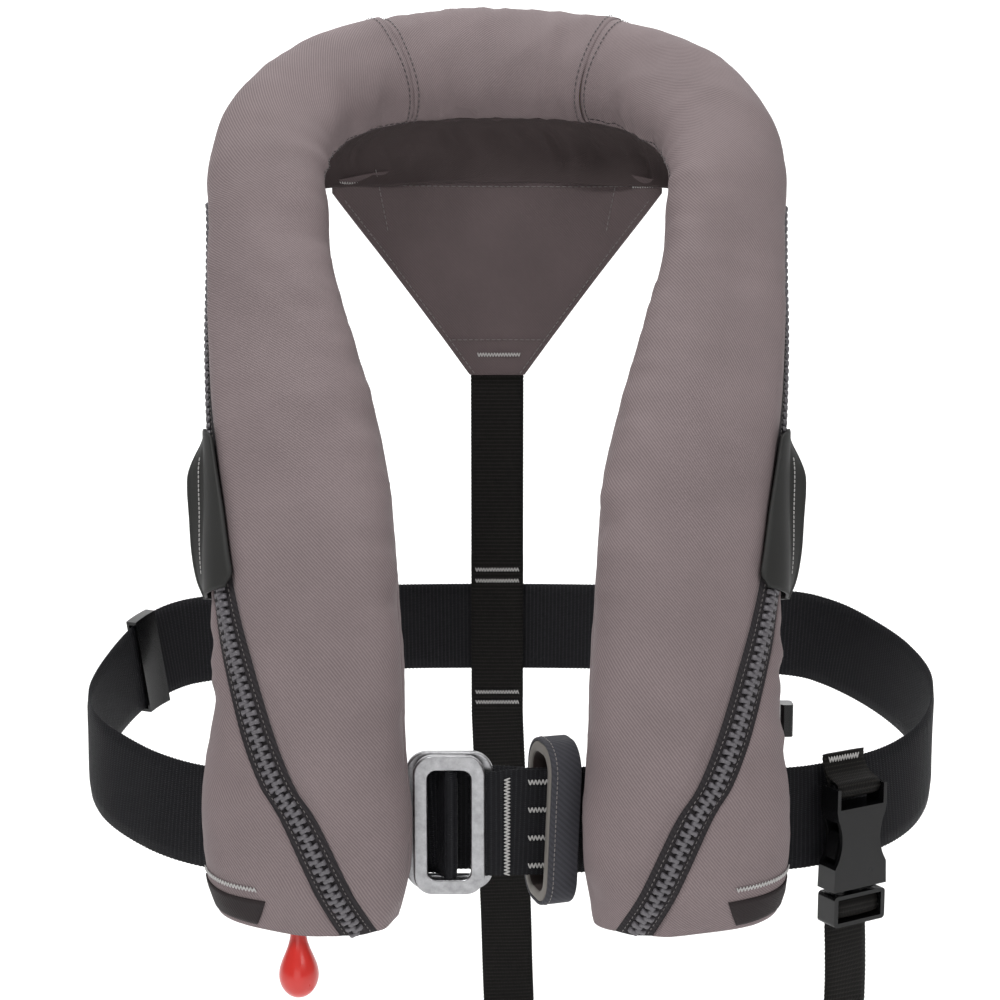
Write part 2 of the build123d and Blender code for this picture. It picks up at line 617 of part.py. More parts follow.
# The crotch strap: a back leg, a turn under the wearer and a narrower front leg.
BACK_LEG = Vector(7, 80, 0)
FRONT_LEG = Vector(161, -140, 0)
TURN_Z = -500.0
TURN_DEPTH = 120.0
JOIN_ANGLE = 90.0
LAP_ANGLE = 12.0
LAP_STEP = 2.8


def turn_point(angle, lift=0.0):
    """A point of the turn, from the back leg at 0 to the front leg at 180 degrees."""
    middle = (BACK_LEG + FRONT_LEG) * 0.5
    reach = (BACK_LEG - FRONT_LEG) * (0.5 * cos(radians(angle)))
    return middle + reach + Vector(0, 0, TURN_Z - (TURN_DEPTH - lift) * sin(radians(angle)))


def turn_across(angle):
    """Direction across the strap around the turn."""
    share = angle / 180
    return (1 - 0.12 * share, 0.75 * sin(radians(angle)) ** 0.5 + 0.5 * share, 0)


BACK_LEG_POINTS = [(0, 76.3, -293.4), (0.3, 76.6, -310), (2.5, 78, -360), (5, 79.5, -420), (6.5, 80, -470)]
back_leg = [(point, SIDEWAYS, STRAP_WIDTH) for point in BACK_LEG_POINTS]
for angle in (15, 30, 45, 60, 75, JOIN_ANGLE, JOIN_ANGLE + LAP_ANGLE):
    back_leg.append((tuple(turn_point(angle)), turn_across(angle), STRAP_WIDTH))
with BuildPart() as crotch_strap_back:
    loft(strip_sections(back_leg))
keep("crotch_strap_back", crotch_strap_back.part)

front_leg = []
for angle in (JOIN_ANGLE - LAP_ANGLE, JOIN_ANGLE, JOIN_ANGLE + LAP_ANGLE, 115, 130, 145, 160):
    front_leg.append((tuple(turn_point(angle, LAP_STEP)), turn_across(angle), LEG_WIDTH))
RELEASE_TURN = 30.0
turn = radians(RELEASE_TURN)
ALONG_BAR = (cos(turn), sin(turn), 0)
OUTWARD = (sin(turn), -cos(turn), 0)
FRONT_LEG_POINTS = [(161.5, -138.5, -485), (163.5, -134.5, -455), (166, -130, -425), (167.6, -126.6, -401.4)]
for point in FRONT_LEG_POINTS:
    front_leg.append((point, ALONG_BAR, LEG_WIDTH))
with BuildPart() as crotch_strap_front:
    loft(strip_sections(front_leg, 1.8))
keep("crotch_strap_front", crotch_strap_front.part)

# ---------------------------------------------------------------- release buckle on the left of the belt
release_plane = Plane(origin=(169, -129, -284), x_dir=ALONG_BAR, z_dir=OUTWARD)
BAR_RADIUS = 2.5
FEMALE_BOTTOM = -48.0
HALF_THICKNESS = 6.0
CAVITY_HALF = 3.8

with BuildPart(release_plane) as release_buckle_female:
    with BuildSketch(release_plane):
        with BuildLine():
            Polyline((-15, 1.5), (-15, -9), (-14.2, -13))
            ThreePointArc((-14.2, -13), (-11.6, -24), (-13.6, -33.5))
            Polyline((-13.6, -33.5), (-15.6, -37), (-16, FEMALE_BOTTOM), (16, FEMALE_BOTTOM),
                     (15.6, -37), (13.6, -33.5))
            ThreePointArc((13.6, -33.5), (11.6, -24), (14.2, -13))
            Polyline((14.2, -13), (15, -9), (15, 1.5), (-15, 1.5))
        make_face()
    extrude(amount=HALF_THICKNESS, both=True)
    with Locations((0, -1.6)):
        Box(LEG_WIDTH + 1, 13.6, 30, mode=Mode.SUBTRACT)
    with Locations((0, (FEMALE_BOTTOM - 35.4) / 2 - 0.5)):
        Box(25.2, -35.4 - FEMALE_BOTTOM + 1, 2 * CAVITY_HALF, mode=Mode.SUBTRACT)
    with Locations((0, -25.2)):
        Box(32, 20.4, 2 * CAVITY_HALF, mode=Mode.SUBTRACT)
    with Locations(Location((0, 0, 0), (0, 90, 0))):
        Cylinder(BAR_RADIUS, LEG_WIDTH + 2)
keep("release_buckle_female", release_buckle_female.part)

MALE_TOP, MALE_BOTTOM = -50.3, -65.5
LADDER_SLOT = (-52.2, -63.5)
with BuildPart(release_plane) as release_buckle_male:
    with BuildSketch(release_plane):
        with Locations((0, (MALE_TOP + MALE_BOTTOM) / 2)):
            RectangleRounded(31, MALE_TOP - MALE_BOTTOM, 2)
    extrude(amount=HALF_THICKNESS, both=True)
    with Locations((0, (LADDER_SLOT[0] + LADDER_SLOT[1]) / 2)):
        Box(LEG_WIDTH + 1.2, LADDER_SLOT[0] - LADDER_SLOT[1], 20, mode=Mode.SUBTRACT)
    with Locations((0, MALE_BOTTOM + 1, -4.2)):
        Box(LEG_WIDTH + 1.2, 4, 5, mode=Mode.SUBTRACT)
    with Locations((0, -57.2)):
        Box(LEG_WIDTH + 2, 4.4, 4.0)
    with Locations((0, (MALE_TOP - 16) / 2 - 0.5)):
        Box(4.4, -16 - MALE_TOP + 1, 6.8)
keep("release_buckle_male", release_buckle_male.part)

PRONG_OUTLINE = [(8.6, -49.8), (8.6, -26), (9.6, -20), (11.2, -20.4), (12.9, -25), (13.9, -32.6),
                 (11.5, -34.4), (11.3, -49.8)]
for label, side in (("release_prong_right", -1), ("release_prong_left", 1)):
    with BuildPart(release_plane) as prong:
        with BuildSketch(release_plane):
            with BuildLine():
                Polyline(*[(side * x, y) for x, y in PRONG_OUTLINE], close=True)
            make_face()
        extrude(amount=3.3, both=True)
    keep(label, prong.part)

# Webbing round the ladder bar of the male half, with the strap below it.
profile_plane = Plane(origin=release_plane.origin, x_dir=OUTWARD, z_dir=[-value for value in ALONG_BAR])
LADDER_WEB = 1.6
with BuildPart(profile_plane) as release_strap:
    with BuildSketch(profile_plane):
        with Locations((0, -58)):
            Rectangle(8.4, 9.6)
            Rectangle(8.4 - 2 * LADDER_WEB, 9.6 - 2 * LADDER_WEB, mode=Mode.SUBTRACT)
        with BuildLine():
            Polyline((-4.2, -61), (-2.6, -61), (-2.6, -90), (-1.9, -114.8), (-3.7, -114.8), (-4.4, -90),
                     close=True)
        make_face()
    extrude(amount=LEG_WIDTH / 2, both=True)
keep("release_strap", release_strap.part)

LOOP_OUTER, LOOP_INNER = 4.4, 2.75
with BuildPart(profile_plane) as release_buckle_loop:
    with BuildSketch(profile_plane):
        Circle(LOOP_OUTER)
        with BuildLine():
            Polyline((-2, 3.6), (-4.2, 0.5), (-8.2, 7.5), (-8.2, 14.5), (-6.6, 14.5), close=True)
        make_face()
        Circle(LOOP_INNER, mode=Mode.SUBTRACT)
    extrude(amount=LEG_WIDTH / 2, both=True)
keep("release_buckle_loop", release_buckle_loop.part)

# ---------------------------------------------------------------- steel buckle and harness loop
RING_CENTRE = (-21.5, -291.2)
RING_HEIGHT = 65.0
RING_SLOT_HEIGHT = 51.0
FRONT_RING = (32.5, 19.6)
REAR_RING = (40.0, 28.0)
RING_THICKNESS = 4.0
RING_GAP = 2.5
FRONT_RING_BACK = RING_PLANE - RING_THICKNESS - RING_GAP


def ring_plane(y):
    """A plane facing the wearer's front, centred on the buckle."""
    return Plane(origin=(RING_CENTRE[0], y, RING_CENTRE[1]), x_dir=SIDEWAYS, z_dir=(0, -1, 0))


with BuildPart() as rear_ring:
    with BuildSketch(ring_plane(RING_PLANE)):
        RectangleRounded(REAR_RING[0], RING_HEIGHT, 10)
        RectangleRounded(REAR_RING[1], RING_SLOT_HEIGHT, 2, mode=Mode.SUBTRACT)
    extrude(amount=RING_THICKNESS)
    fillet(rear_ring.edges().filter_by(Axis.Y, reverse=True), 1.0)
keep("rear_ring", rear_ring.part)

FRONT_BAR_RADIUS = 2.2
FRONT_BAR_Y = FRONT_RING_BACK + 0.1
with BuildPart() as front_ring:
    with BuildSketch(ring_plane(FRONT_RING_BACK)):
        RectangleRounded(FRONT_RING[0], RING_HEIGHT, 9)
        RectangleRounded(FRONT_RING[1], RING_SLOT_HEIGHT, 4, mode=Mode.SUBTRACT)
    extrude(amount=RING_THICKNESS)
    fillet(front_ring.edges().filter_by(Axis.Y, reverse=True), 1.0)
    with Locations((RING_CENTRE[0], FRONT_BAR_Y, RING_CENTRE[1])):
        Cylinder(FRONT_BAR_RADIUS, RING_SLOT_HEIGHT + 1)
keep("front_ring", front_ring.part)

with BuildPart() as front_ring_webbing:
    with BuildSketch(Plane((RING_CENTRE[0], FRONT_BAR_Y, RING_CENTRE[1] - BELT_WIDTH / 2))):
        Circle(FRONT_BAR_RADIUS + 0.2 + 1.8)
        with BuildLine():
            Polyline((-4.2, 0), (1.5, 4.0), (-5.4, 5.8), (-7.4, 2.8), close=True)
        make_face()
        Circle(FRONT_BAR_RADIUS + 0.2, mode=Mode.SUBTRACT)
    extrude(amount=BELT_WIDTH)
keep("front_ring_webbing", front_ring_webbing.part)

REAR_BAR_X = RING_CENTRE[0] + (REAR_RING[0] + REAR_RING[1]) / 4
REAR_BAR_Y = RING_PLANE - RING_THICKNESS / 2
REAR_BAR_WIDTH = (REAR_RING[0] - REAR_RING[1]) / 2
REAR_FOLD = 2.1            # webbing with its free gap round the bar
with BuildPart() as rear_ring_webbing:
    with BuildSketch(Plane((REAR_BAR_X, REAR_BAR_Y, RING_CENTRE[1] - BELT_WIDTH / 2 + 1))):
        RectangleRounded(REAR_BAR_WIDTH + 2 * REAR_FOLD, RING_THICKNESS + 2 * REAR_FOLD, 3)
        with BuildLine():
            Polyline((3, -4.1), (3, 4.1), (12.2, 2.0), (12.2, -2.0), close=True)
        make_face()
        Rectangle(REAR_BAR_WIDTH + 2 * CLEARANCE, RING_THICKNESS + 2 * CLEARANCE, mode=Mode.SUBTRACT)
    extrude(amount=BELT_WIDTH - 2)
keep("rear_ring_webbing", rear_ring_webbing.part)

LOOP_YAW = 18.0
yaw = radians(LOOP_YAW)
LOOP_WIDTH = 14.0
LOOP_HEIGHT, LOOP_DEPTH = 82.0, 34.0
SLEEVE_WALL, LINING_WALL = 1.5, 5.0
loop_plane = Plane(origin=(25.5, -157.5, -288), x_dir=(-sin(yaw), cos(yaw), 0), z_dir=(-cos(yaw), -sin(yaw), 0))

with BuildPart(loop_plane) as harness_loop_sleeve:
    with BuildSketch(loop_plane):
        RectangleRounded(LOOP_DEPTH, LOOP_HEIGHT, 14)
        RectangleRounded(LOOP_DEPTH - 2 * SLEEVE_WALL, LOOP_HEIGHT - 2 * SLEEVE_WALL, 14 - SLEEVE_WALL,
                         mode=Mode.SUBTRACT)
    extrude(amount=LOOP_WIDTH / 2, both=True)
keep("harness_loop_sleeve", harness_loop_sleeve.part)

lining_inset = SLEEVE_WALL + 0.2
with BuildPart(loop_plane) as harness_loop_lining:
    with BuildSketch(loop_plane):
        RectangleRounded(LOOP_DEPTH - 2 * lining_inset, LOOP_HEIGHT - 2 * lining_inset, 14 - lining_inset)
        RectangleRounded(LOOP_DEPTH - 2 * lining_inset - 2 * LINING_WALL,
                         LOOP_HEIGHT - 2 * lining_inset - 2 * LINING_WALL,
                         14 - lining_inset - LINING_WALL, mode=Mode.SUBTRACT)
    extrude(amount=LOOP_WIDTH / 2, both=True)
keep("harness_loop_lining", harness_loop_lining.part)

with BuildPart(Plane((132.6, -148.5, -246))) as cover_clip:
    Box(6, 9, 15)
    fillet(cover_clip.edges().filter_by(Axis.Z), 2)
keep("cover_clip", cover_clip.part)

# ---------------------------------------------------------------- export
for label, part in pieces.items():
    export_step(part, f"parts/{label}.step")
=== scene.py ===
import json
from bisect import bisect_left
from functools import lru_cache
from math import cos, exp, pi, radians, sin

import bpy
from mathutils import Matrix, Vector, noise


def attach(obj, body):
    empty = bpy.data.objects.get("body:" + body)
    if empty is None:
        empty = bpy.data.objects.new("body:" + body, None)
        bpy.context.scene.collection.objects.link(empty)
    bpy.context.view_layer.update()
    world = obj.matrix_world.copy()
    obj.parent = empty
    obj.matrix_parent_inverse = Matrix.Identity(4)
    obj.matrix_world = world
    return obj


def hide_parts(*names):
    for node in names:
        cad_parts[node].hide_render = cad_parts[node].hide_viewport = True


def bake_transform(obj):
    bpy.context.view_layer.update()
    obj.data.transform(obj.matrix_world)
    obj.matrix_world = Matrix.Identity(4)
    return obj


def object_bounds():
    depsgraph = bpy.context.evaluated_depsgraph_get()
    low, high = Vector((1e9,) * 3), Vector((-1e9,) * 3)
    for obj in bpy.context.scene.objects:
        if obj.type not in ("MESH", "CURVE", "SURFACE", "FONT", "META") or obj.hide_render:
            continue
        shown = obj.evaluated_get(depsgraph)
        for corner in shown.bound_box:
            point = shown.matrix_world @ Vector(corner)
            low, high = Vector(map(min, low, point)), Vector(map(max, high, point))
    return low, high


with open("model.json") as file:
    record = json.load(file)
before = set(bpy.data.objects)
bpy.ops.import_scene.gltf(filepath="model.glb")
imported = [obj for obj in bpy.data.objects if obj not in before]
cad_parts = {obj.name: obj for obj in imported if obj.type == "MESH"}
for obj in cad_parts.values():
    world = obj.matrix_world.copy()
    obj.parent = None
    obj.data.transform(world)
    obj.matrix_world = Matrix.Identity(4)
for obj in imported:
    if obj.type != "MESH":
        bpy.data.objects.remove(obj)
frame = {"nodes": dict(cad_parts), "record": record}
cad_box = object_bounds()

# Inflatable life jacket. Lengths are millimetres until a mesh is made, and +X is the wearer's left.
MM = 0.001
ROUNDNESS = 2.4            # exponent of the rounded cover section
WEB_PITCH = 2.15           # rib spacing of the webbing
WEB_COLUMNS = 9
TACK_PITCH, TACK_THREAD = 0.8, 0.38
UP = (0, 0, 1)
SIDEWAYS = (1, 0, 0)


# ---- small helpers
def step_between(low, high, value):
    """0 below low, 1 above high, and a smooth rise between them."""
    share = min(max((value - low) / (high - low), 0.0), 1.0)
    return share * share * (3 - 2 * share)


def bell(distance, width):
    """1 at no distance, falling to nothing over a few widths."""
    return exp(-(distance / width) ** 2)


def grain(x, y, seed):
    """Smooth noise between about -1 and 1."""
    return noise.noise(Vector((x, y, seed)))


def through(values, place):
    """A smooth curve through a list of numbers or vectors, at a fractional index."""
    index = min(max(int(place), 0), len(values) - 2)
    f = place - index
    a, b = values[max(index - 1, 0)], values[index]
    c, d = values[index + 1], values[min(index + 2, len(values) - 1)]
    bend = (2 * a - 5 * b + 4 * c - d) * f * f
    return 0.5 * (2 * b + (c - a) * f + bend + (3 * b - a - 3 * c + d) * f ** 3)


def make_piece(name, verts, faces, material, body="jacket", uvs=None, replaces=()):
    """A mesh piece from points in millimetres, smooth shaded, riding on a body."""
    mesh = bpy.data.meshes.new(name)
    mesh.from_pydata([Vector(v) * MM for v in verts], [], faces)
    if uvs:
        layer = mesh.uv_layers.new(name="cloth")
        for loop in mesh.loops:
            u, v = uvs[loop.vertex_index]
            layer.data[loop.index].uv = (u * MM, v * MM)
    mesh.polygons.foreach_set("use_smooth", [True] * len(mesh.polygons))
    mesh.materials.append(material)
    obj = bpy.data.objects.new(name, mesh)
    bpy.context.scene.collection.objects.link(obj)
    if body:
        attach(obj, body)
    if replaces:
        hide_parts(*replaces)
    return obj


def grid_faces(rows, cols, closed=False, start=0):
    """Quads of a grid of points, row after row."""
    faces = []
    for i in range(rows - 1):
        for j in range(cols if closed else cols - 1):
            a, b = start + i * cols + j, start + i * cols + (j + 1) % cols
            faces.append((a, b, b + cols, a + cols))
    return faces


def thicken(obj, thickness, offset=-1.0):
    """Give a cloth its thickness, in millimetres."""
    solid = obj.modifiers.new("thickness", "SOLIDIFY")
    solid.thickness = thickness * MM
    solid.offset = offset
    solid.use_even_offset = False
    return obj


# ---- materials
class Nodes:
    """A short way to write a material's nodes."""

    def __init__(self, name):
        self.material = bpy.data.materials.new(name)
        self.material.use_nodes = True
        self.tree = self.material.node_tree
        self.shader = self.tree.nodes["Principled BSDF"]

    def add(self, kind, inputs=None, **settings):
        node = self.tree.nodes.new("ShaderNode" + kind)
        for key, value in settings.items():
            setattr(node, key, value)
        for key, value in (inputs or {}).items():
            if isinstance(value, bpy.types.NodeSocket):
                self.tree.links.new(value, node.inputs[key])
            else:
                node.inputs[key].default_value = value
        return node

    def math(self, operation, first, second=0.0):
        return self.add("Math", {0: first, 1: second}, operation=operation).outputs[0]

    def mix(self, share, first, second):
        node = self.add("Mix", {0: share, 6: first, 7: second}, data_type="RGBA")
        return node.outputs[2]

    def noise(self, place, scale, detail=2.0, **more):
        return self.add("TexNoise", {"Vector": place, "Scale": scale, "Detail": detail, **more}).outputs[0]

    def spread(self, value, low, high):
        """The value from 0 to 1 spread between two others."""
        return self.add("MapRange", {"Value": value, "To Min": low, "To Max": high}).outputs[0]

    def place(self):
        return self.add("TexCoord").outputs["Object"]

    def link(self, socket, name):
        self.tree.links.new(socket, self.shader.inputs[name])

    def bump(self, height, strength, distance):
        node = self.add("Bump", {"Strength": strength, "Distance": distance, "Height": height})
        self.link(node.outputs[0], "Normal")

    def set(self, **values):
        for name, value in values.items():
            self.shader.inputs[name.replace("_", " ")].default_value = value


def srgb(red, green, blue, shade=1.0):
    """A linear colour from screen values of 0 to 255."""
    linear = []
    for value in (red, green, blue):
        value = value / 255
        linear.append((value / 12.92 if value <= 0.04045 else ((value + 0.055) / 1.055) ** 2.4) * shade)
    return (*linear, 1.0)


def shade(colour, share):
    """A colour made darker or lighter."""
    return tuple(min(c * share, 1.0) for c in colour[:3]) + (1.0,)


def nylon(name, colour, contrast=0.16, weave=0.62, rough=0.66, sheen=0.04, wear=0.12):
    """Woven nylon: a fine twill by the cloth's own lengths, with soft uneven shade."""
    n = Nodes(name)
    cloth = n.add("UVMap", uv_map="cloth").outputs[0]
    axes = n.add("SeparateXYZ", {0: cloth})
    turns = 2 * pi / (weave * MM)
    warp = n.math("SINE", n.math("MULTIPLY", axes.outputs[0], turns))
    weft = n.math("SINE", n.math("MULTIPLY", axes.outputs[1], turns))
    slant = n.math("ADD", axes.outputs[0], n.math("MULTIPLY", axes.outputs[1], 0.9))
    twill = n.math("SINE", n.math("MULTIPLY", slant, turns * 0.42))
    threads = n.math("MULTIPLY", warp, weft)
    pattern = n.math("ADD", n.math("MULTIPLY", threads, 0.35), n.math("MULTIPLY", twill, 0.65))
    place = n.place()
    blotch = n.noise(place, 26.0, 4.0)
    speckle = n.noise(place, 900.0)
    share = n.math("ADD", n.math("MULTIPLY", pattern, contrast), n.math("MULTIPLY", speckle, 0.35))
    share = n.math("ADD", share, n.math("MULTIPLY", n.math("SUBTRACT", blotch, 0.5), wear * 5))
    share = n.math("ADD", share, 0.32)
    share = n.add("Clamp", {"Value": share}).outputs[0]
    n.link(n.mix(share, shade(colour, 0.72), shade(colour, 1.25)), "Base Color")
    n.link(n.spread(speckle, rough - 0.08, rough + 0.1), "Roughness")
    n.bump(pattern, 0.5, 0.00014)
    n.set(Sheen_Weight=sheen, Sheen_Roughness=0.45, Specular_IOR_Level=0.15)
    return n.material


def ribbed(name, dark, light, across=False, highlight_dots=0.5, rough=0.55):
    """Webbing: ribs over its width, with pale dots painted as highlights on the rib crests where the threads
    cross.
    """
    n = Nodes(name)
    cloth = n.add("UVMap", uv_map="cloth").outputs[0]
    axes = n.add("SeparateXYZ", {0: cloth})
    along, side = (axes.outputs[1], axes.outputs[0]) if across else (axes.outputs[0], axes.outputs[1])
    rib = n.math("COSINE", n.math("MULTIPLY", along, 2 * pi / (WEB_PITCH * MM)))
    row = n.math("FLOOR", n.math("DIVIDE", along, WEB_PITCH * MM))
    shift = n.math("MULTIPLY", row, 0.5 * pi)
    thread = n.math("SINE", n.math("ADD", n.math("MULTIPLY", side, 2 * pi / (0.95 * MM)), shift))
    crest = n.add("MapRange", {"Value": rib, "From Min": 0.2, "From Max": 1.0}).outputs[0]
    dot = n.add("MapRange", {"Value": thread, "From Min": 0.1, "From Max": 1.0}).outputs[0]
    place = n.place()
    speckle = n.noise(place, 700.0)
    uneven = n.noise(place, 30.0, 3.0)
    # painted highlight: the webbing is lightened where the rib crests and thread crowns meet
    share = n.math("MULTIPLY", n.math("MULTIPLY", crest, dot), highlight_dots)
    share = n.math("MULTIPLY", share, n.math("ADD", uneven, 0.5))
    share = n.math("ADD", share, n.math("MULTIPLY", speckle, 0.12))
    n.link(n.mix(n.add("Clamp", {"Value": share}).outputs[0], dark, light), "Base Color")
    n.link(n.spread(speckle, rough - 0.1, rough + 0.12), "Roughness")
    height = n.math("ADD", n.math("MULTIPLY", rib, 0.6), n.math("MULTIPLY", thread, 0.4))
    n.bump(height, 0.6, 0.0003)
    n.set(Sheen_Weight=0.0, Specular_IOR_Level=0.1)
    return n.material


def moulded(name, colour, rough, grain_depth=0.00005, grain_scale=1400.0, coat=0.0, vary=0.12, gloss=0.5):
    """Plastic or rubber with a fine moulded grain and small changes of gloss."""
    n = Nodes(name)
    place = n.place()
    fine = n.noise(place, grain_scale, 3.0)
    broad = n.noise(place, 60.0, 4.0)
    n.link(n.mix(broad, shade(colour, 1 - vary), shade(colour, 1 + vary)), "Base Color")
    n.link(n.spread(broad, rough - 0.07, rough + 0.08), "Roughness")
    n.bump(fine, 0.5, grain_depth)
    n.set(Coat_Weight=coat, Coat_Roughness=0.12, Specular_IOR_Level=gloss)
    return n.material


def metal(name, colour, rough, mottle=0.25):
    """Tumbled steel: mottled satin with fine scratches."""
    n = Nodes(name)
    place = n.place()
    spots = n.noise(place, 260.0, 6.0, Roughness=0.65)
    streak = n.add("Mapping", {"Vector": place, "Scale": (220.0, 220.0, 1500.0)}).outputs[0]
    scratch = n.noise(streak, 1.0, 3.0)
    patch = n.add("MapRange", {"Value": spots, "From Min": 0.3, "From Max": 0.7}).outputs[0]
    n.link(n.mix(patch, shade(colour, 1 - mottle), shade(colour, 1 + mottle)), "Base Color")
    n.link(n.spread(spots, rough - 0.12, rough + 0.14), "Roughness")
    n.bump(n.math("ADD", spots, n.math("MULTIPLY", scratch, 0.5)), 0.25, 0.00006)
    n.set(Metallic=1.0)
    return n.material


def thread_material(name, colour):
    """Twisted sewing thread."""
    n = Nodes(name)
    place = n.place()
    twist = n.noise(place, 2500.0, 1.0)
    n.link(n.mix(twist, shade(colour, 0.7), colour), "Base Color")
    n.bump(twist, 0.4, 0.00006)
    n.set(Roughness=0.6, Sheen_Weight=0.3)
    return n.material


def clear(name, colour):
    """Clear moulded lens."""
    n = Nodes(name)
    place = n.place()
    ripple = n.add("TexNoise", {"Vector": place, "Scale": 300.0}).outputs[0]
    n.bump(ripple, 0.2, 0.0001)
    n.set(Base_Color=colour, Roughness=0.08, Transmission_Weight=0.85, IOR=1.49)
    return n.material


SHELL = nylon("cover_nylon", srgb(128, 115, 116), contrast=0.6)
LINING = nylon("lining_nylon", srgb(84, 73, 74), contrast=0.3)
# a darker copy of the cover cloth: painted shade for the lining in the recess under the collar
SHADED_NECK_LINING = nylon("neck_lining_painted_shade", srgb(70, 61, 61), contrast=0.3)
PANEL = nylon("panel_nylon", srgb(93, 82, 83), contrast=0.2, rough=0.7)
# near-black cloth: painted shade for the lobes' hem ends and pocket mouths
SHADE_CLOTH = nylon("inner_nylon_painted_shade", srgb(44, 38, 39))
TAPE = nylon("zip_tape", srgb(48, 45, 47), contrast=0.45, weave=1.1, rough=0.75)
TEETH = moulded("zip_teeth", srgb(96, 93, 97), 0.42, vary=0.18)
RUBBER = moulded("tab_rubber", srgb(46, 46, 45), 0.55, grain_depth=0.00008, gloss=0.2)
# the lighter colour of each webbing is its painted highlight on the rib crests
BELT = ribbed("belt_webbing", srgb(14, 14, 17), srgb(80, 80, 84), highlight_dots=0.4)
STRAP = ribbed("strap_webbing", srgb(8, 8, 8), srgb(84, 80, 76), highlight_dots=0.4)
BLACK = moulded("black_plastic", srgb(14, 14, 15), 0.36, gloss=0.25)
GLOSSY = moulded("buckle_plastic", srgb(10, 10, 11), 0.24, coat=0.1, gloss=0.3)
RED = moulded("red_plastic", srgb(206, 42, 34), 0.3, coat=0.35, vary=0.05)
ORANGE = moulded("orange_plastic", srgb(226, 112, 40), 0.32, coat=0.3, vary=0.05)
CARTRIDGE = moulded("pressed_salt", srgb(200, 196, 180), 0.8, grain_depth=0.0002)
STEEL = metal("ring_steel", srgb(168, 168, 170), 0.34)
CYLINDER = metal("plated_steel", srgb(188, 186, 182), 0.28, mottle=0.1)
CORD = thread_material("braided_cord", srgb(190, 60, 50))
BLADDER = nylon("coated_bladder", srgb(232, 196, 40), weave=0.5, contrast=0.08)
ORAL = moulded("oral_rubber", srgb(30, 30, 32), 0.45, gloss=0.25)
LENS = clear("clear_lens", (0.8, 0.86, 0.9, 1.0))
SLEEVE = nylon("loop_webbing", srgb(62, 62, 67), contrast=0.4, weave=1.2, rough=0.75)
LOOP_EDGE = moulded("loop_lining", srgb(116, 112, 107), 0.75, grain_depth=0.0001, grain_scale=1800.0)
# dark cloth for the loop's inside: painted shade of the band's interior
LOOP_INSIDE_SHADE = nylon("loop_inside_painted_shade", srgb(58, 50, 48), contrast=0.3)
PALE_THREAD = thread_material("pale_thread", srgb(188, 186, 184))
DARK_THREAD = thread_material("dark_thread", srgb(52, 46, 48))
GREY_THREAD = thread_material("grey_thread", srgb(120, 114, 112))

SLOT_MATERIALS = {
    "cover_fabric": SHELL, "lining_fabric": LINING, "panel_fabric": PANEL, "zip_tape": TAPE,
    "zip_teeth": TEETH, "tab_rubber": RUBBER, "black_plastic": BLACK, "red_plastic": RED,
    "orange_plastic": ORANGE, "clear_lens": LENS, "cartridge": CARTRIDGE, "steel": STEEL,
    "cord_fabric": CORD, "bladder_fabric": BLADDER, "oral_rubber": ORAL, "belt_webbing": BELT,
    "strap_webbing": STRAP, "buckle_plastic": GLOSSY, "loop_webbing": SLEEVE, "loop_lining": LOOP_EDGE,
}
for part in frame["record"]["subparts"]:
    finish = CYLINDER if part["node"] == "gas_cylinder" else SLOT_MATERIALS[part["material_slot"]]
    for node_slot in frame["nodes"][part["node"]].material_slots:
        node_slot.material = finish

# ---- the horseshoe's outside
# Centre, direction to the neck, width, thickness and angle of the zip, from the back of the
# collar down to the hem of the right lobe.
HALF_STATIONS = [
    ((0, 52, 66), (0, -0.60, -0.80), 62, 44, 180),
    ((-30, 50, 65), (0.20, -0.60, -0.76), 62, 44, 180),
    ((-57, 42, 61), (0.45, -0.50, -0.70), 60, 42, 180),
    ((-80, 27, 54), (0.68, -0.30, -0.60), 58, 40, 180),
    ((-97, 7, 43), (0.85, -0.12, -0.45), 57, 39, 180),
    ((-110, -15, 26), (0.95, -0.10, -0.25), 57, 38, 180),
    ((-115, -36, 4), (0.98, -0.20, 0), 58, 38, 179),
    ((-113, -50, -16), (0.97, -0.24, 0), 59, 38, 178),
    ((-111, -64, -38), (0.97, -0.24, 0), 60, 38, 178),
    ((-106, -83, -67), (0.97, -0.24, 0), 67, 39, 177),
    ((-100, -101, -94), (0.97, -0.24, 0), 74, 40, 175),
    ((-94, -117, -121), (0.97, -0.24, 0), 80, 42, 168),
    ((-90, -131, -147), (0.97, -0.24, 0), 84, 44, 157),
    ((-88, -144, -173), (0.97, -0.24, 0), 86, 46, 145),
    ((-86, -154, -199), (0.97, -0.24, 0), 85, 48, 134),
    ((-84, -163, -224), (0.97, -0.24, 0), 85, 50, 121),
    ((-84, -169, -250), (0.97, -0.24, 0), 87, 52, 105),
    ((-85, -172, -277), (0.97, -0.24, 0), 93, 54, 87),
    ((-85, -172, -305), (0.97, -0.24, 0), 93, 54, 70),
    ((-85, -168, -328), (0.97, -0.24, 0), 84, 48, 48),
]
BOTH_SIDES = (("right", 1), ("left", -1))
MIDDLE = len(HALF_STATIONS) - 1
LAST = 2 * MIDDLE


def other_side(vector):
    """The same vector on the wearer's left."""
    return (-vector[0], vector[1], vector[2])


left_stations = [(other_side(c), other_side(i), w, h, z) for c, i, w, h, z in reversed(HALF_STATIONS[1:])]
STATIONS = left_stations + HALF_STATIONS
CENTRES = [Vector(station[0]) for station in STATIONS]
INWARDS = [Vector(station[1]) for station in STATIONS]
WIDTHS = [station[2] for station in STATIONS]
THICKS = [station[3] for station in STATIONS]
ZIPS = [station[4] for station in STATIONS]
RIM_FROM, RIM_TO, RIM_STEP = -80, 440, 2


def rounded(angle, half_width, half_thick):
    """A point of the rounded section's outline, at an angle in radians."""
    c, s = cos(angle), sin(angle)
    x = half_width * abs(c) ** (2 / ROUNDNESS) * (1 if c >= 0 else -1)
    y = half_thick * abs(s) ** (2 / ROUNDNESS) * (1 if s >= 0 else -1)
    return x, y


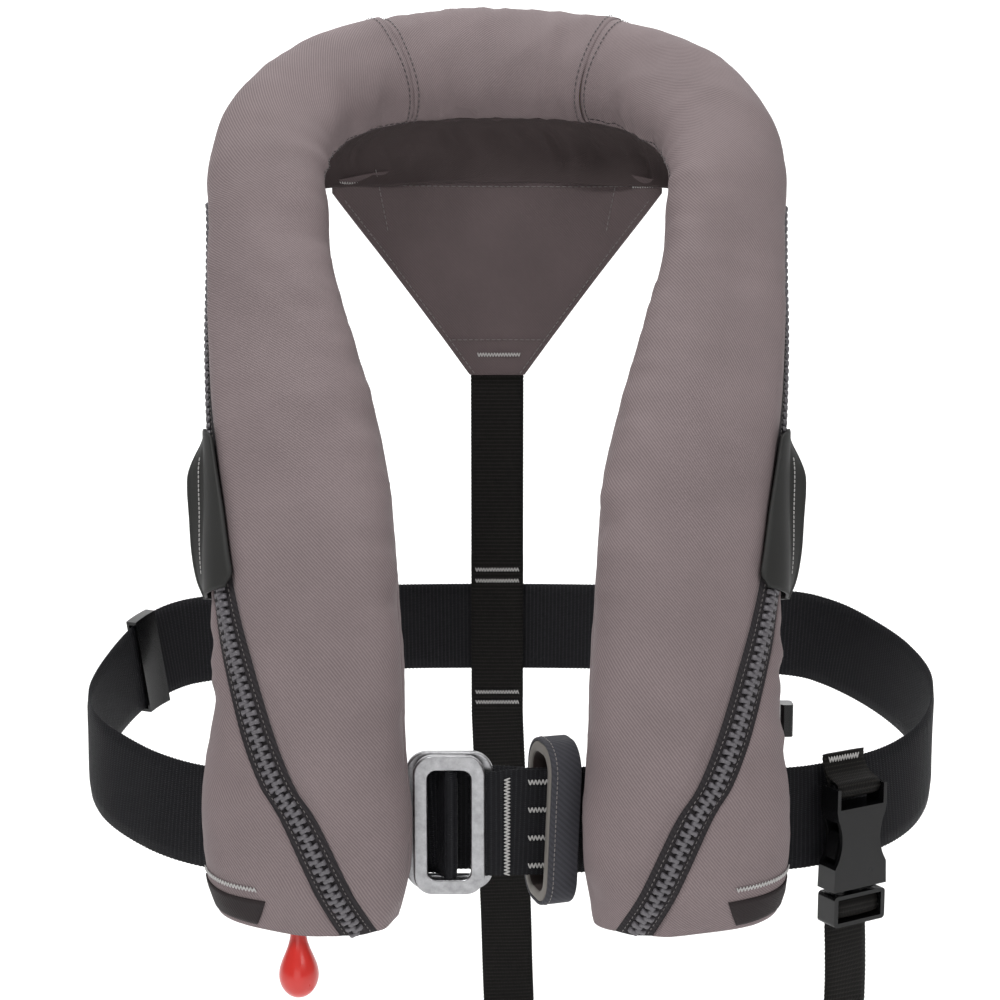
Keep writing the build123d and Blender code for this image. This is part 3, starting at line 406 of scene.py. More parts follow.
@lru_cache(None)
def section(t):
    """The section at a station number: centre, its directions and its outline by arc length."""
    centre = through(CENTRES, t)
    low, high = max(t - 0.05, 0.0), min(t + 0.05, LAST)
    along = (through(CENTRES, high) - through(CENTRES, low)).normalized()
    across = through(INWARDS, t)
    across = (across - along * across.dot(along)).normalized()
    front = along.cross(across)
    half_width, half_thick = through(WIDTHS, t) / 2, through(THICKS, t) / 2
    points, lengths = [], [0.0]
    for angle in range(RIM_FROM, RIM_TO + 1, RIM_STEP):
        point = Vector(rounded(radians(angle), half_width, half_thick))
        if points:
            lengths.append(lengths[-1] + (point - points[-1]).length)
        points.append(point)
    zero = lengths[-RIM_FROM // RIM_STEP]
    return centre, across, front, along, points, [length - zero for length in lengths]


def arc(t, angle):
    """Arc length round the section from its inner edge to an angle."""
    lengths = section(t)[5]
    place = (angle - RIM_FROM) / RIM_STEP
    index = min(max(int(place), 0), len(lengths) - 2)
    return lengths[index] + (lengths[index + 1] - lengths[index]) * (place - index)


def zip_arc(t):
    """Arc length to the middle of the zip."""
    return arc(t, through(ZIPS, t))


def skin(t, s, lift=0.0):
    """A point on the horseshoe, by station number and arc length, lifted off its surface."""
    centre, across, front, _, points, lengths = section(t)
    index = min(max(bisect_left(lengths, s) - 1, 1), len(lengths) - 3)
    share = (s - lengths[index]) / (lengths[index + 1] - lengths[index])
    point = points[index].lerp(points[index + 1], share)
    slope = (points[index + 2] - points[index - 1]).normalized()
    point = point + Vector((slope.y, -slope.x)) * lift
    return centre + across * point.x + front * point.y


RUN = [0.0]
for number in range(1, LAST * 10 + 1):
    RUN.append(RUN[-1] + (through(CENTRES, number / 10) - through(CENTRES, (number - 1) / 10)).length)


def run(t):
    """Length along the horseshoe's middle line up to a station number."""
    place = min(max(t * 10, 0), len(RUN) - 1.001)
    index = int(place)
    return RUN[index] + (RUN[index + 1] - RUN[index]) * (place - index)


def skin_normal(t, s):
    """Direction out of the skin."""
    a = skin(t, s + 0.8) - skin(t, s - 0.8)
    b = skin(min(t + 0.03, LAST), s) - skin(max(t - 0.03, 0), s)
    normal = a.cross(b).normalized()
    return normal if normal.dot(skin(t, s, 1) - skin(t, s)) > 0 else -normal


def wrap(name, t_from, t_to, low, high, lift, material, thickness, replaces=(), spacing=2.6, cols=None):
    """A cloth wrapped on the horseshoe between two lines along it. low, high and lift are functions."""
    rows = max(int((run(t_to) - run(t_from)) / spacing), 2) + 1
    widest = max(high(t) - low(t) for t in (t_from, (t_from + t_to) / 2, t_to))
    cols = cols or max(int(widest / spacing), 3) + 1
    verts, uvs = [], []
    for i in range(rows):
        t = round(t_from + (t_to - t_from) * i / (rows - 1), 4)
        first, last = low(t), high(t)
        for j in range(cols):
            s = first + (last - first) * j / (cols - 1)
            verts.append(skin(t, s, lift(t, s)))
            uvs.append((s, run(t)))
    obj = make_piece(name, verts, grid_faces(rows, cols), material, uvs=uvs, replaces=replaces)
    return thicken(obj, thickness)


# ---- stitching
def thread_row(name, spots, material, length=2.2, radius=0.32):
    """Short threads at places given as point, direction and outward normal."""
    verts, faces = [], []
    rings, sides = (-1.0, -0.75, 0.0, 0.75, 1.0), 5
    thick = (0.35, 0.9, 1.0, 0.9, 0.35)
    for point, along, out in spots:
        along = along.normalized()
        side = out.cross(along).normalized()
        start = len(verts)
        for place, size in zip(rings, thick):
            for k in range(sides):
                angle = 2 * pi * k / sides
                offset = side * cos(angle) + out * sin(angle) * 0.8
                verts.append(point + along * (place * length / 2) + offset * (radius * size))
        faces += grid_faces(len(rings), sides, closed=True, start=start)
        faces.append(tuple(start + k for k in reversed(range(sides))))
        faces.append(tuple(start + (len(rings) - 1) * sides + k for k in range(sides)))
    return make_piece(name, verts, faces, material)


def spots_along(places, pitch, height=0.15):
    """Stitches at an even pitch along a line of (point, normal) pairs."""
    spots, travelled, due = [], 0.0, pitch / 2
    for (a, out_a), (b, out_b) in zip(places, places[1:]):
        span = (b - a).length
        while span > 0 and due <= travelled + span:
            share = (due - travelled) / span
            out = out_a.lerp(out_b, share).normalized()
            spots.append((a.lerp(b, share) + out * height, b - a, out))
            due += pitch
        travelled += span
    return spots


def bar_tack(name, start, end, out, width=3.2):
    """The close zig-zag of a bar tack from start to end, as its own piece."""
    start, end, out = Vector(start), Vector(end), Vector(out).normalized()
    count = max(int((end - start).length / TACK_PITCH), 2)
    along = (end - start).normalized()
    side = out.cross(along)
    spots = []
    for index in range(count):
        point = start.lerp(end, (index + 0.5) / count)
        lean = along * (0.35 if index % 2 else -0.35)
        wobble = side * (0.2 * grain(index * 0.9, 0.3, 4.0))
        spots.append((point + wobble + out * 0.25, side + lean, out))
    return thread_row(name, spots, PALE_THREAD, length=width, radius=TACK_THREAD)


# ---- covers
COLLAR_SEAM, SHOULDER_SEAM = 2, 5
INNER_SEAM, NECK_SEAM = -8.0, -30.0
TAPE_HALF = 8.6
COVER_THICKNESS = 1.2


def distance_up(t):
    """Stations from the middle of the collar, on either side."""
    return abs(t - MIDDLE)


def seam_angle(t):
    """Angle of the inner seam, which moves under the collar towards the neck."""
    return NECK_SEAM + (INNER_SEAM - NECK_SEAM) * step_between(3.5, 7.0, distance_up(t))


def front_low(t):
    return arc(t, seam_angle(t))


def tape_half(t):
    """Half of the gap between the covers at the zip: it closes over the shoulder."""
    return 0.3 + (TAPE_HALF - 0.3) * step_between(5.0, 12.5, distance_up(t)) ** 0.7


def front_high(t):
    return zip_arc(t) - tape_half(t)


def back_low(t):
    return zip_arc(t) + tape_half(t)


def back_high(t):
    return arc(t, 360 + seam_angle(t)) - 0.5


def cloth_lift(seed, low, high, gathers=0.0):
    """Uneven surface of a cover: slow swells, creases across the lobe and pinched seams."""
    def lift(t, s):
        length = run(t)
        first, last = low(t), high(t)
        from_low, from_high = s - first, last - s
        swell = 1.8 * grain(length * 0.016, s * 0.028, seed)
        slope = length * 0.021 + s * 0.024
        swell += 1.5 * (0.4 - abs(grain(slope, (length - s) * 0.007, seed + 13)) * 1.6)
        ripple = grain(length * 0.085, s * 0.018, seed + 3.1)
        wander = 0.3 * grain(s * 0.05, length * 0.02, seed)
        crease = -abs(grain(length * 0.055 + wander, s * 0.014, seed + 7.7))
        near_inner = bell(from_low, 26)
        value = swell + 1.1 * ripple * (0.3 + near_inner) + 3.0 * crease * (0.3 + 0.9 * near_inner)
        value += 0.5 * grain(length * 0.2, s * 0.04, seed + 5) * (bell(from_low, 9) + bell(from_high, 9))
        value += 1.4
        value *= step_between(0.0, 9.0, min(from_low, from_high))
        value -= 0.4 * bell(from_low, 2.4) + 0.4 * bell(from_high, 2.0)
        if gathers:
            value += gathers * grain(length * 0.16, s * 0.012, seed + 9)
        return value
    return lift


def wrap_cover(name, t_from, t_to, low, high, seed, material, replaces, gathers=0.0):
    lift = cloth_lift(seed, low, high, gathers)
    return wrap(name, t_from, t_to, low, high, lift, material, COVER_THICKNESS, replaces)


COLLAR_GATHERS = 0.9
LOBE_SEEDS = {"right": 2.0, "left": 31.0}
for side, sign in BOTH_SIDES:
    seed = LOBE_SEEDS[side]
    shoulder = MIDDLE + sign * COLLAR_SEAM
    hem = MIDDLE + sign * MIDDLE
    t_from, t_to = min(shoulder, hem), max(shoulder, hem)
    back_from, back_to = sorted((MIDDLE + sign * SHOULDER_SEAM, hem))
    wrap_cover(
        f"{side}_lobe_front", t_from, t_to, front_low, front_high, seed, SHELL,
        (f"{side}_front_cover", f"{side}_yoke_cover"))
    wrap_cover(
        f"{side}_lobe_back", back_from, back_to, back_low, back_high, seed + 11, SHELL,
        (f"{side}_back_cover",))

CURTAIN_FEET = [(0, 57, 3), (-30, 56, 3), (-57, 47, 1), (-80, 30, 0), (-93, 14, -2), (-98, -2, -8),
                (-100, -14, -16)]
feet = [Vector(other_side(foot)) for foot in reversed(CURTAIN_FEET[1:])]
feet += [Vector(foot) for foot in CURTAIN_FEET]
LINING_LEAVES = NECK_SEAM + 6   # angle at which the lining leaves the collar
FALL_REACH, CURTAIN_REACH = 17, 5.6


def fall_point(t, share):
    """A point of the lining that curls under the collar and falls to the back panel."""
    head = skin(t, arc(t, LINING_LEAVES), -0.6)
    foot = through(feet, t - MIDDLE + len(CURTAIN_FEET) - 1)
    curl = skin(t, arc(t, LINING_LEAVES - 14)) - skin(t, arc(t, LINING_LEAVES))
    under = head + curl.normalized() * FALL_REACH
    across = section(t)[1]
    back = Vector((-across.x, -across.y, 0)).normalized()
    above = foot + Vector((0, 0, FALL_REACH)) + back * 8.0
    a, b, c = head.lerp(under, share), under.lerp(above, share), above.lerp(foot, share)
    return a.lerp(b, share).lerp(b.lerp(c, share), share)


def fall_folds(t, share):
    """Gathers that hang down the lining, strongest half way."""
    across = t * 2.1 + 0.8 * grain(share * 2.0, t * 0.6, 5.5)
    ridge = 1 - 2 * abs(grain(across, share * 0.9, 7.5))
    broad = grain(t * 0.9, share * 1.4, 9.5)
    return 4.2 * sin(pi * share) ** 0.8 * (0.55 * ridge + 0.9 * broad) - 0.3


def collar_curtain():
    """Lining that leaves the collar's neck seam and falls in gathers to the back panel, coloured dark as
    painted shade of the recess under the collar.
    """
    t_from, t_to = MIDDLE - CURTAIN_REACH, MIDDLE + CURTAIN_REACH
    rows, cols = int((run(t_to) - run(t_from)) / 1.6) + 1, 48
    verts, uvs = [], []
    for i in range(rows):
        t = round(t_from + (t_to - t_from) * i / (rows - 1), 4)
        across = section(t)[1]
        for j in range(cols):
            share = j / (cols - 1)
            outward = Vector((across.x, across.y, 0)).normalized()
            verts.append(fall_point(t, share) + outward * fall_folds(t, share))
            uvs.append((arc(t, LINING_LEAVES) - share * 60, run(t)))
    obj = make_piece("collar_curtain", verts, grid_faces(rows, cols), SHADED_NECK_LINING,
                     uvs=uvs, replaces=("neck_curtain",))
    return thicken(obj, 1.1, 0)


wrap_cover(
    "collar_centre", MIDDLE - COLLAR_SEAM, MIDDLE + COLLAR_SEAM, front_low, front_high, 57.0, SHELL,
    ("collar_cover",), gathers=COLLAR_GATHERS)
collar_curtain()
wrap_cover(
    "collar_underside", MIDDLE - SHOULDER_SEAM, MIDDLE + SHOULDER_SEAM, back_low, back_high, 71.0, LINING,
    ("collar_lining",), gathers=1.2)


# ---- zips
def tape_lift(t, s):
    offset = s - zip_arc(t)
    return -0.7 + 0.5 * bell(offset, 3.5)


TOOTH_PITCH = 4.0
TOOTH = [  # distance from the zip's middle, half length along it, height
    (-1.2, 0.7, 1.5), (-0.6, 1.2, 2.1), (0.4, 1.25, 2.2), (0.9, 0.9, 2.1), (2.0, 0.9, 2.1),
    (2.8, 1.25, 1.9), (3.6, 1.05, 1.1),
]


def tooth_chain(name, t_from, t_to, replaces):
    """Two rows of moulded teeth that mesh along the middle of a zip."""
    verts, faces = [], []
    steps = 1200
    travelled, due, count = 0.0, 1.0, 0
    previous = skin(t_from, zip_arc(t_from))
    for number in range(1, steps + 1):
        t = t_from + (t_to - t_from) * number / steps
        s = zip_arc(t)
        point = skin(t, s)
        travelled += (point - previous).length
        if travelled >= due:
            along = (point - previous).normalized()
            out = skin_normal(t, s)
            side = along.cross(out).normalized()
            out = side.cross(along)
            hand = 1 if count % 2 else -1
            start = len(verts)
            base = point - out * 0.2
            for distance, half, height in TOOTH:
                centre = base + side * (hand * distance)
                inset = half * 0.7
                shoulder = height * 0.7
                for reach, rise in ((-half, 0), (-half, shoulder), (-inset, height), (inset, height),
                                    (half, shoulder), (half, 0)):
                    verts.append(centre + along * reach + out * rise)
            for row in range(len(TOOTH) - 1):
                for col in range(5):
                    a = start + row * 6 + col
                    quad = (a, a + 1, a + 7, a + 6)
                    faces.append(quad if hand < 0 else quad[::-1])
            first = tuple(range(start, start + 6))
            last = tuple(start + (len(TOOTH) - 1) * 6 + k for k in range(6))
            faces.append(first if hand > 0 else first[::-1])
            faces.append(last[::-1] if hand > 0 else last)
            due += TOOTH_PITCH / 2
            count += 1
        previous = point
    return make_piece(name, verts, faces, TEETH, replaces=replaces)


for side, sign in BOTH_SIDES:
    hem = MIDDLE + sign * MIDDLE
    t_from, t_to = min(MIDDLE, hem), max(MIDDLE, hem)
    wrap(f"{side}_tape", t_from, t_to, lambda t: zip_arc(t) - tape_half(t) - 1.5,
         lambda t: zip_arc(t) + tape_half(t) + 1.5, tape_lift, TAPE, 0.8,
         (f"{side}_zip_tape",), cols=13)
    chain_top = MIDDLE + sign * (SHOULDER_SEAM + 1.5)
    tooth_chain(f"{side}_chain", chain_top, MIDDLE + sign * (MIDDLE - 0.12), (f"{side}_zip_teeth",))
    for edge in (-1, 1):
        places = []
        for number in range(0, 400):
            t = MIDDLE + sign * (SHOULDER_SEAM + 2 + (MIDDLE - SHOULDER_SEAM - 2.1) * number / 399)
            s = zip_arc(t) + edge * min(5.6, tape_half(t) - 1)
            places.append((skin(t, s, -0.2), skin_normal(t, s)))
        label = "inner" if edge < 0 else "outer"
        thread_row(f"{side}_tape_stitch_{label}", spots_along(places, 2.4), GREY_THREAD, length=1.3,
                   radius=0.18)

# ---- back panel
PANEL_OUT = [0, 15, 35, 60, 90]
PANEL_DEEP = [60, 59.8, 58, 49.5, 25]
PANEL_TOP = [5, 5, 6, 9, 3]
PANEL_LEAN = 0.12


def panel_place(x):
    """Fractional index of a distance to the side in the panel's lists."""
    place = 0.0
    for index in range(4):
        if abs(x) >= PANEL_OUT[index]:
            place = index + (abs(x) - PANEL_OUT[index]) / (PANEL_OUT[index + 1] - PANEL_OUT[index])
    return place


def panel_point(x, z):
    """A point on the back panel at a distance to the side and a height."""
    mirrored = [PANEL_DEEP[1]] + PANEL_DEEP
    y = through(mirrored, panel_place(x) + 1) - PANEL_LEAN * z
    y += 1.5 * grain(x * 0.02, z * 0.02, 12.0) + 0.35 * grain(x * 0.05, z * 0.12, 13.0)
    return Vector((x, y, z))


def panel_bottom(x):
    """Lower edge of the triangle, rounded over its blunt tip."""
    return -104 + max(abs(x) - 15.5, 0) * 1.385


def panel_top(x):
    return through(PANEL_TOP, min(panel_place(x), 3.999))


verts, uvs = [], []
COLS, ROWS = 91, 61
for i in range(ROWS):
    for j in range(COLS):
        x = -88 + 176 * j / (COLS - 1)
        z = panel_top(x) + (min(panel_bottom(x), panel_top(x) - 3) - panel_top(x)) * i / (ROWS - 1)
        verts.append(panel_point(x, z))
        uvs.append((x, z))
triangle = make_piece("back_triangle", verts, grid_faces(ROWS, COLS), PANEL, uvs=uvs,
                      replaces=("back_panel",))
thicken(triangle, 1.5, 0)


def panel_places(points):
    """Places on the panel's front face for stitches."""
    return [(panel_point(x, z) + Vector((0, -1.0, 0)), Vector((0, -1, -0.1)).normalized()) for x, z in points]


def straight(start, end, count=60):
    return [(start[0] + (end[0] - start[0]) * k / count, start[1] + (end[1] - start[1]) * k / count)
            for k in range(count + 1)]


panel_spots = spots_along(panel_places(straight((-84, 1.5), (84, 0.5))), 3.4)
panel_spots += spots_along(panel_places(straight((-26, -84), (26, -84))), 3.2)
for hand in (-1, 1):
    panel_spots += spots_along(panel_places(straight((hand * 82, -7), (hand * 13, -103))), 3.2)
    panel_spots += spots_along(panel_places(straight((hand * 66, 10), (hand * 60, -24))), 3.2)
thread_row("triangle_stitching", panel_spots, GREY_THREAD, length=2.3, radius=0.28)


def panel_tack(name, x_from, x_to, z_from, z_to):
    a = panel_point(x_from, z_from) + Vector((0, -1.0, 0))
    b = panel_point(x_to, z_to) + Vector((0, -1.0, 0))
    return bar_tack(name, a, b, (0, -1, 0), width=2.4)


panel_tack("triangle_tip_tack", -11, 13, -92.5, -92.5)
panel_tack("triangle_right_tack", -84, -73, 1.5, 1.5)
panel_tack("triangle_left_tack", 73, 84, 0.5, 0.5)

# ---- seam stitching on the covers
for side, sign in BOTH_SIDES:
    lobe_lift = cloth_lift(LOBE_SEEDS[side], front_low, front_high)
    collar_lift = cloth_lift(57.0, front_low, front_high, COLLAR_GATHERS)
    neck_line = []
    for number in range(161):
        t = MIDDLE + sign * (2.15 + 4.35 * number / 160)
        s = front_low(t) + 6.5
        neck_line.append((skin(t, s, lobe_lift(t, s) + 0.3), skin_normal(t, s)))
    thread_row(f"{side}_neck_stitching", spots_along(neck_line, 3.4), DARK_THREAD, length=2.4, radius=0.3)
    for offset in (-0.13, 0.13):
        t = MIDDLE + sign * COLLAR_SEAM + offset
        lift = lobe_lift if offset * sign > 0 else collar_lift
        seam = []
        for angle in range(-26, 172, 2):
            s = arc(t, angle)
            seam.append((skin(t, s, lift(t, s) + 0.3), skin_normal(t, s)))
        label = "a" if offset < 0 else "b"
        thread_row(f"{side}_collar_stitching_{label}", spots_along(seam, 3.4), DARK_THREAD, length=2.3,
                   radius=0.28)

# ---- side tabs
TAB_ROWS = 44
TAB_REACH = [1.0, 5.5, 8.8, 9.2, 8.8, 8.2, 7.6, 6.8, 5.6, 4.0, 1.5]
TAB_LIFT = 3.2
TAB_TOP, TAB_BOTTOM = 10.6, 13.45
for side, sign in BOTH_SIDES:
    verts, uvs, stitch = [], [], []
    for i in range(TAB_ROWS + 1):
        share = i / TAB_ROWS
        t = MIDDLE + sign * (TAB_TOP + (TAB_BOTTOM - TAB_TOP) * share)
        reach = through(TAB_REACH, share * (len(TAB_REACH) - 1))
        trim = 5.0 * (bell(share, 0.05) + bell(1 - share, 0.04))
        centre, across, front, *_ = section(t)
        edge = skin(t, arc(t, 180), 1.0)
        tip = edge - across * (reach + 1.5)
        inner = min(arc(t, 180) - 9, zip_arc(t) - tape_half(t) - 3.0) + trim
        outer = arc(t, 180) + 15.5 - trim
        path = []
        for k in range(9):
            path.append(skin(t, inner + (arc(t, 166) - inner) * k / 8, TAB_LIFT))
        for k in range(1, 8):
            path.append(path[8].lerp(tip + front * 1.5, k / 8))
        for k in range(5):
            angle = pi * k / 4
            path.append(tip + front * (1.5 * cos(angle)) - across * (1.5 * sin(angle)))
        behind = skin(t, arc(t, 196), TAB_LIFT)
        for k in range(1, 8):
            path.append((tip - front * 1.5).lerp(behind, k / 8))
        for k in range(9):
            path.append(skin(t, arc(t, 196) + (outer - arc(t, 196)) * k / 8, TAB_LIFT))
        verts += path
        uvs += [(k * 1.4, run(t)) for k in range(len(path))]
        if 5 < i < TAB_ROWS - 4:
            stitch.append((path[11] + front * 0.9, front))
    cols = len(path)
    tab = make_piece(f"{side}_tab", verts, grid_faces(TAB_ROWS + 1, cols), RUBBER, uvs=uvs,
                     replaces=(f"{side}_side_tab",))
    thicken(tab, 1.4, 0)
    thread_row(f"{side}_tab_stitching", spots_along(stitch, 2.2), PALE_THREAD, length=1.7, radius=0.34)

# ---- hems
HEM_HALF_WIDTH, HEM_HALF_THICK = 40.0, 22.5
for side, sign in BOTH_SIDES:
    t = MIDDLE + sign * (MIDDLE - 0.35)
    centre, across, front, along, points, lengths = section(t)
    down = along * sign
    verts, uvs = [], []
    RINGS, COLS = 9, 60
    for ring in range(RINGS):
        share = 1 - ring / (RINGS - 1) * 0.999
        for j in range(COLS):
            x, y = (value * share for value in rounded(2 * pi * j / COLS, HEM_HALF_WIDTH, HEM_HALF_THICK))
            sag = 2.5 * (1 - share * share) + 1.2 * grain(x * 0.06, y * 0.06, 3.0 + sign)
            verts.append(centre + across * x + front * y + down * sag)
            uvs.append((x, y))
    replaces = ("hem_panels",) if sign > 0 else ()
    # the hem's end disc is coloured as painted shade
    make_piece(f"{side}_hem", verts, grid_faces(RINGS, COLS, closed=True), SHADE_CLOTH,
               uvs=uvs, replaces=replaces)

# ---- webbing
def path_frames(points, sides, spacing):
    """Points, directions and lengths along a smooth path through the given points."""
    points = [Vector(p) for p in points]
    sides = [Vector(s) for s in sides]
    samples = []
    fine = 24
    for number in range((len(points) - 1) * fine + 1):
        samples.append((through(points, number / fine), through(sides, number / fine)))
    lengths = [0.0]
    for (a, _), (b, _) in zip(samples, samples[1:]):
        lengths.append(lengths[-1] + (b - a).length)
    count = max(int(lengths[-1] / spacing), 2)
    frames = []
    for number in range(count + 1):
        length = lengths[-1] * number / count
        index = min(max(bisect_left(lengths, length) - 1, 0), len(lengths) - 2)
        span = lengths[index + 1] - lengths[index]
        share = (length - lengths[index]) / span if span else 0.0
        point = samples[index][0].lerp(samples[index + 1][0], share)
        side = samples[index][1].lerp(samples[index + 1][1], share)
        ahead = samples[min(index + 2, len(samples) - 1)][0] - samples[max(index - 1, 0)][0]
        along = ahead.normalized()
        side = (side - along * side.dot(along)).normalized()
        frames.append((point, along, side, along.cross(side).normalized(), length))
    return frames


def webbing(name, points, sides, width, body="jacket", slot="belt_webbing", replaces=(), thick=2.0,
            rib=0.28, wave=0.6, seed=1.0):
    """Ribbed webbing along a path: a closed strip with ribs over its width and wavy edges."""
    frames = path_frames(points, sides, WEB_PITCH / 4)
    verts, uvs = [], []
    steps = WEB_COLUMNS - 1
    ring = [(j / steps * 2 - 1, 1) for j in range(WEB_COLUMNS)]
    ring += [(j / steps * 2 - 1, -1) for j in reversed(range(WEB_COLUMNS))]
    for point, along, side, out, length in frames:
        crest = 0.5 + 0.5 * cos(2 * pi * length / WEB_PITCH)
        for place, face in ring:
            edge = 1 - abs(place) ** 8
            half = thick / 2 * (0.45 + 0.55 * edge) - rib / 2 + rib * crest * edge
            reach = (width / 2 + 0.3 * (crest - 0.5)) * place
            swell = wave * grain(length * 0.02, place * 0.8, seed)
            verts.append(point + side * reach + out * (half * face + swell))
            uvs.append((length, place * width / 2))
    cols = len(ring)
    faces = grid_faces(len(frames), cols, closed=True)
    faces.append(tuple(reversed(range(cols))))
    faces.append(tuple((len(frames) - 1) * cols + k for k in range(cols)))
    return make_piece(name, verts, faces, SLOT_MATERIALS[slot], body=body, uvs=uvs,
                      replaces=replaces)


BELT_POINTS = [
    (-46, -150.5, -293), (-60, -146, -295), (-85, -140, -297), (-110, -135, -299), (-141, -124, -300),
    (-170, -108, -296), (-197, -82, -288), (-210, -45, -282), (-208, 0, -273), (-199, 36, -264),
    (-184, 58, -258), (-163, 71, -256), (-120, 77, -253), (-60, 80, -251.5), (0, 80, -251), (60, 80, -251.5),
    (120, 78, -252.5), (167, 75, -254), (188, 61, -256), (207, 37, -262), (221, 2, -269), (225, -38, -277),
    (214, -76, -288), (190, -104, -296), (150, -124, -300), (110, -135, -299), (85, -140, -297),
    (60, -146, -294), (45, -151, -293), (28, -156, -292), (8.6, -158, -291.5),
]
webbing("waist_belt", BELT_POINTS, [UP] * len(BELT_POINTS), 50.0, wave=0.5, seed=3.0,
        replaces=("waist_belt_right_side", "waist_belt_back", "waist_belt_left_side",
                  "waist_belt_left_front"))

FOLD_POINTS = [(-46.5, -150.3, -293), (-38, -153, -292), (-31.8, -156.0, -291.5), (-27, -158.3, -291.2),
               (-24.2, -162.5, -291.2), (-22.0, -166.4, -291.2), (-18.6, -164.2, -291.2),
               (-19.6, -160.0, -291.2), (-24.5, -156.2, -291.2), (-31, -153.6, -291.5), (-38, -150.8, -292)]
fold = webbing("front_ring_fold", FOLD_POINTS, [UP] * len(FOLD_POINTS), 50.0, body=None, wave=0.0,
                  thick=1.7, rib=0.2, replaces=("front_ring_webbing", "waist_belt_right_front"))
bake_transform(fold)

REAR_FOLD_POINTS = [(10, -159.6, -291.2), (3, -161.8, -291.2), (-3, -163.0, -291.2), (-8.2, -162.2, -291.2),
                    (-9.3, -158.2, -291.2), (-7.6, -154.4, -291.2), (-3, -153.4, -291.2),
                    (3, -154.2, -291.2), (12, -155.8, -291.2)]
webbing("rear_ring_fold", REAR_FOLD_POINTS, [UP] * len(REAR_FOLD_POINTS), 49.0, wave=0.0, thick=1.6,
        rib=0.2, replaces=("rear_ring_webbing",))
UNDER_POINTS = [(-52, -147.6, -293.5), (-44, -150.0, -292.5), (-34, -152.4, -291.6), (-22, -153.4, -291.2),
                (-11.5, -153.2, -291.2)]
webbing("belt_underlay", UNDER_POINTS, [UP] * len(UNDER_POINTS), 49.5, wave=0.0, thick=1.6, rib=0.2)
LAP_POINTS = [(2, -162.0, -291.2), (8, -161.0, -291.3), (16, -159.7, -291.6), (27, -158.4, -292)]
webbing("belt_lap", LAP_POINTS, [UP] * len(LAP_POINTS), 49.6, wave=0.0, thick=1.6, rib=0.3)
bar_tack("belt_lap_tack", (4.8, -162.8, -270), (4.8, -162.8, -315.5), (0.1, -1, 0), width=3.0)
for number, z in enumerate((-272.5, -285.5, -298.7, -311.8)):
    bar_tack(f"loop_tack_{number + 1}", (14.5, -160.9, z), (27, -159.4, z), (0.12, -1, 0), width=2.6)

STRAP_POINTS = [(0, 75.6, -86), (0, 75.8, -120), (0, 76, -180), (0, 76.3, -222), (0, 76.3, -251),
                (0, 76.3, -293), (0.3, 76.6, -310), (2.5, 78, -360), (5, 79.5, -420), (6.5, 80, -470)]
BACK_LEG, FRONT_LEG = Vector((7, 80, 0)), Vector((161, -140, 0))
TURN_Z, TURN_DEPTH = -500.0, 120.0


def turn_point(angle, lift=0.0):
    """A point of the crotch strap's turn, from the back leg at 0 to the front leg at 180 degrees."""
    middle = (BACK_LEG + FRONT_LEG) * 0.5
    reach = (BACK_LEG - FRONT_LEG) * (0.5 * cos(radians(angle)))
    return middle + reach + Vector((0, 0, TURN_Z - (TURN_DEPTH - lift) * sin(radians(angle))))


def turn_across(angle):
    share = angle / 180
    return (1 - 0.12 * share, 0.75 * sin(radians(angle)) ** 0.5 + 0.5 * share, 0)


strap_sides = [SIDEWAYS] * len(STRAP_POINTS)
strap_points = list(STRAP_POINTS)
for angle in (15, 30, 45, 60, 75, 90, 102):
    strap_points.append(turn_point(angle))
    strap_sides.append(turn_across(angle))
webbing("long_strap", strap_points, strap_sides, 30.0, slot="strap_webbing", wave=0.4, seed=8.0,
        replaces=("back_strap", "crotch_strap_back"))
for number, z in enumerate((-216.7, -223.2, -289.1, -295.1)):
    bar_tack(f"strap_tack_{number + 1}", (-12.5, 74.9, z), (12.5, 74.9, z), (0, -1, 0), width=2.4)

LOOP_POINTS = [(0, 78.6, -208), (0, 78.6, -216), (0, 82.6, -223), (0, 83.4, -232), (0, 83.4, -251),
               (0, 83.4, -270), (0, 82.6, -279), (0, 78.6, -286), (0, 78.6, -293)]
webbing("belt_carrier", LOOP_POINTS, [SIDEWAYS] * len(LOOP_POINTS), 30.0, slot="strap_webbing",
        wave=0.0, thick=1.7, rib=0.2, replaces=("back_belt_loop",))

turn = radians(30.0)
ALONG_BAR = Vector((cos(turn), sin(turn), 0))
OUTWARD = Vector((sin(turn), -cos(turn), 0))
BUCKLE = Vector((169, -129, -284))


def at_buckle(outward, up, sideways=0.0):
    """A point in the release buckle's own directions, from its upper bar."""
    return BUCKLE + OUTWARD * outward + Vector((0, 0, up)) + ALONG_BAR * sideways


front_points = [turn_point(angle, 2.8) for angle in (78, 90, 102, 115, 130, 145, 160)]
front_sides = [turn_across(angle) for angle in (78, 90, 102, 115, 130, 145, 160)]
for point in [(161.5, -138.5, -485), (163.5, -134.5, -455), (166, -130, -425)]:
    front_points.append(Vector(point))
    front_sides.append(ALONG_BAR)
for outward, up in ((-3.0, -100), (-3.5, -80), (-4.2, -68), (-3.4, -63.2), (0.2, -62.3), (3.2, -61.2),
                    (3.9, -58.0), (3.2, -54.6), (0, -53.4), (-2.6, -54.8)):
    front_points.append(at_buckle(outward, up))
    front_sides.append(ALONG_BAR)
front_strap = webbing("front_strap", front_points, front_sides, 25.0, body=None,
                      slot="strap_webbing", wave=0.3, thick=1.7, rib=0.22, seed=6.0,
                      replaces=("crotch_strap_front", "release_strap"))
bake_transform(front_strap)

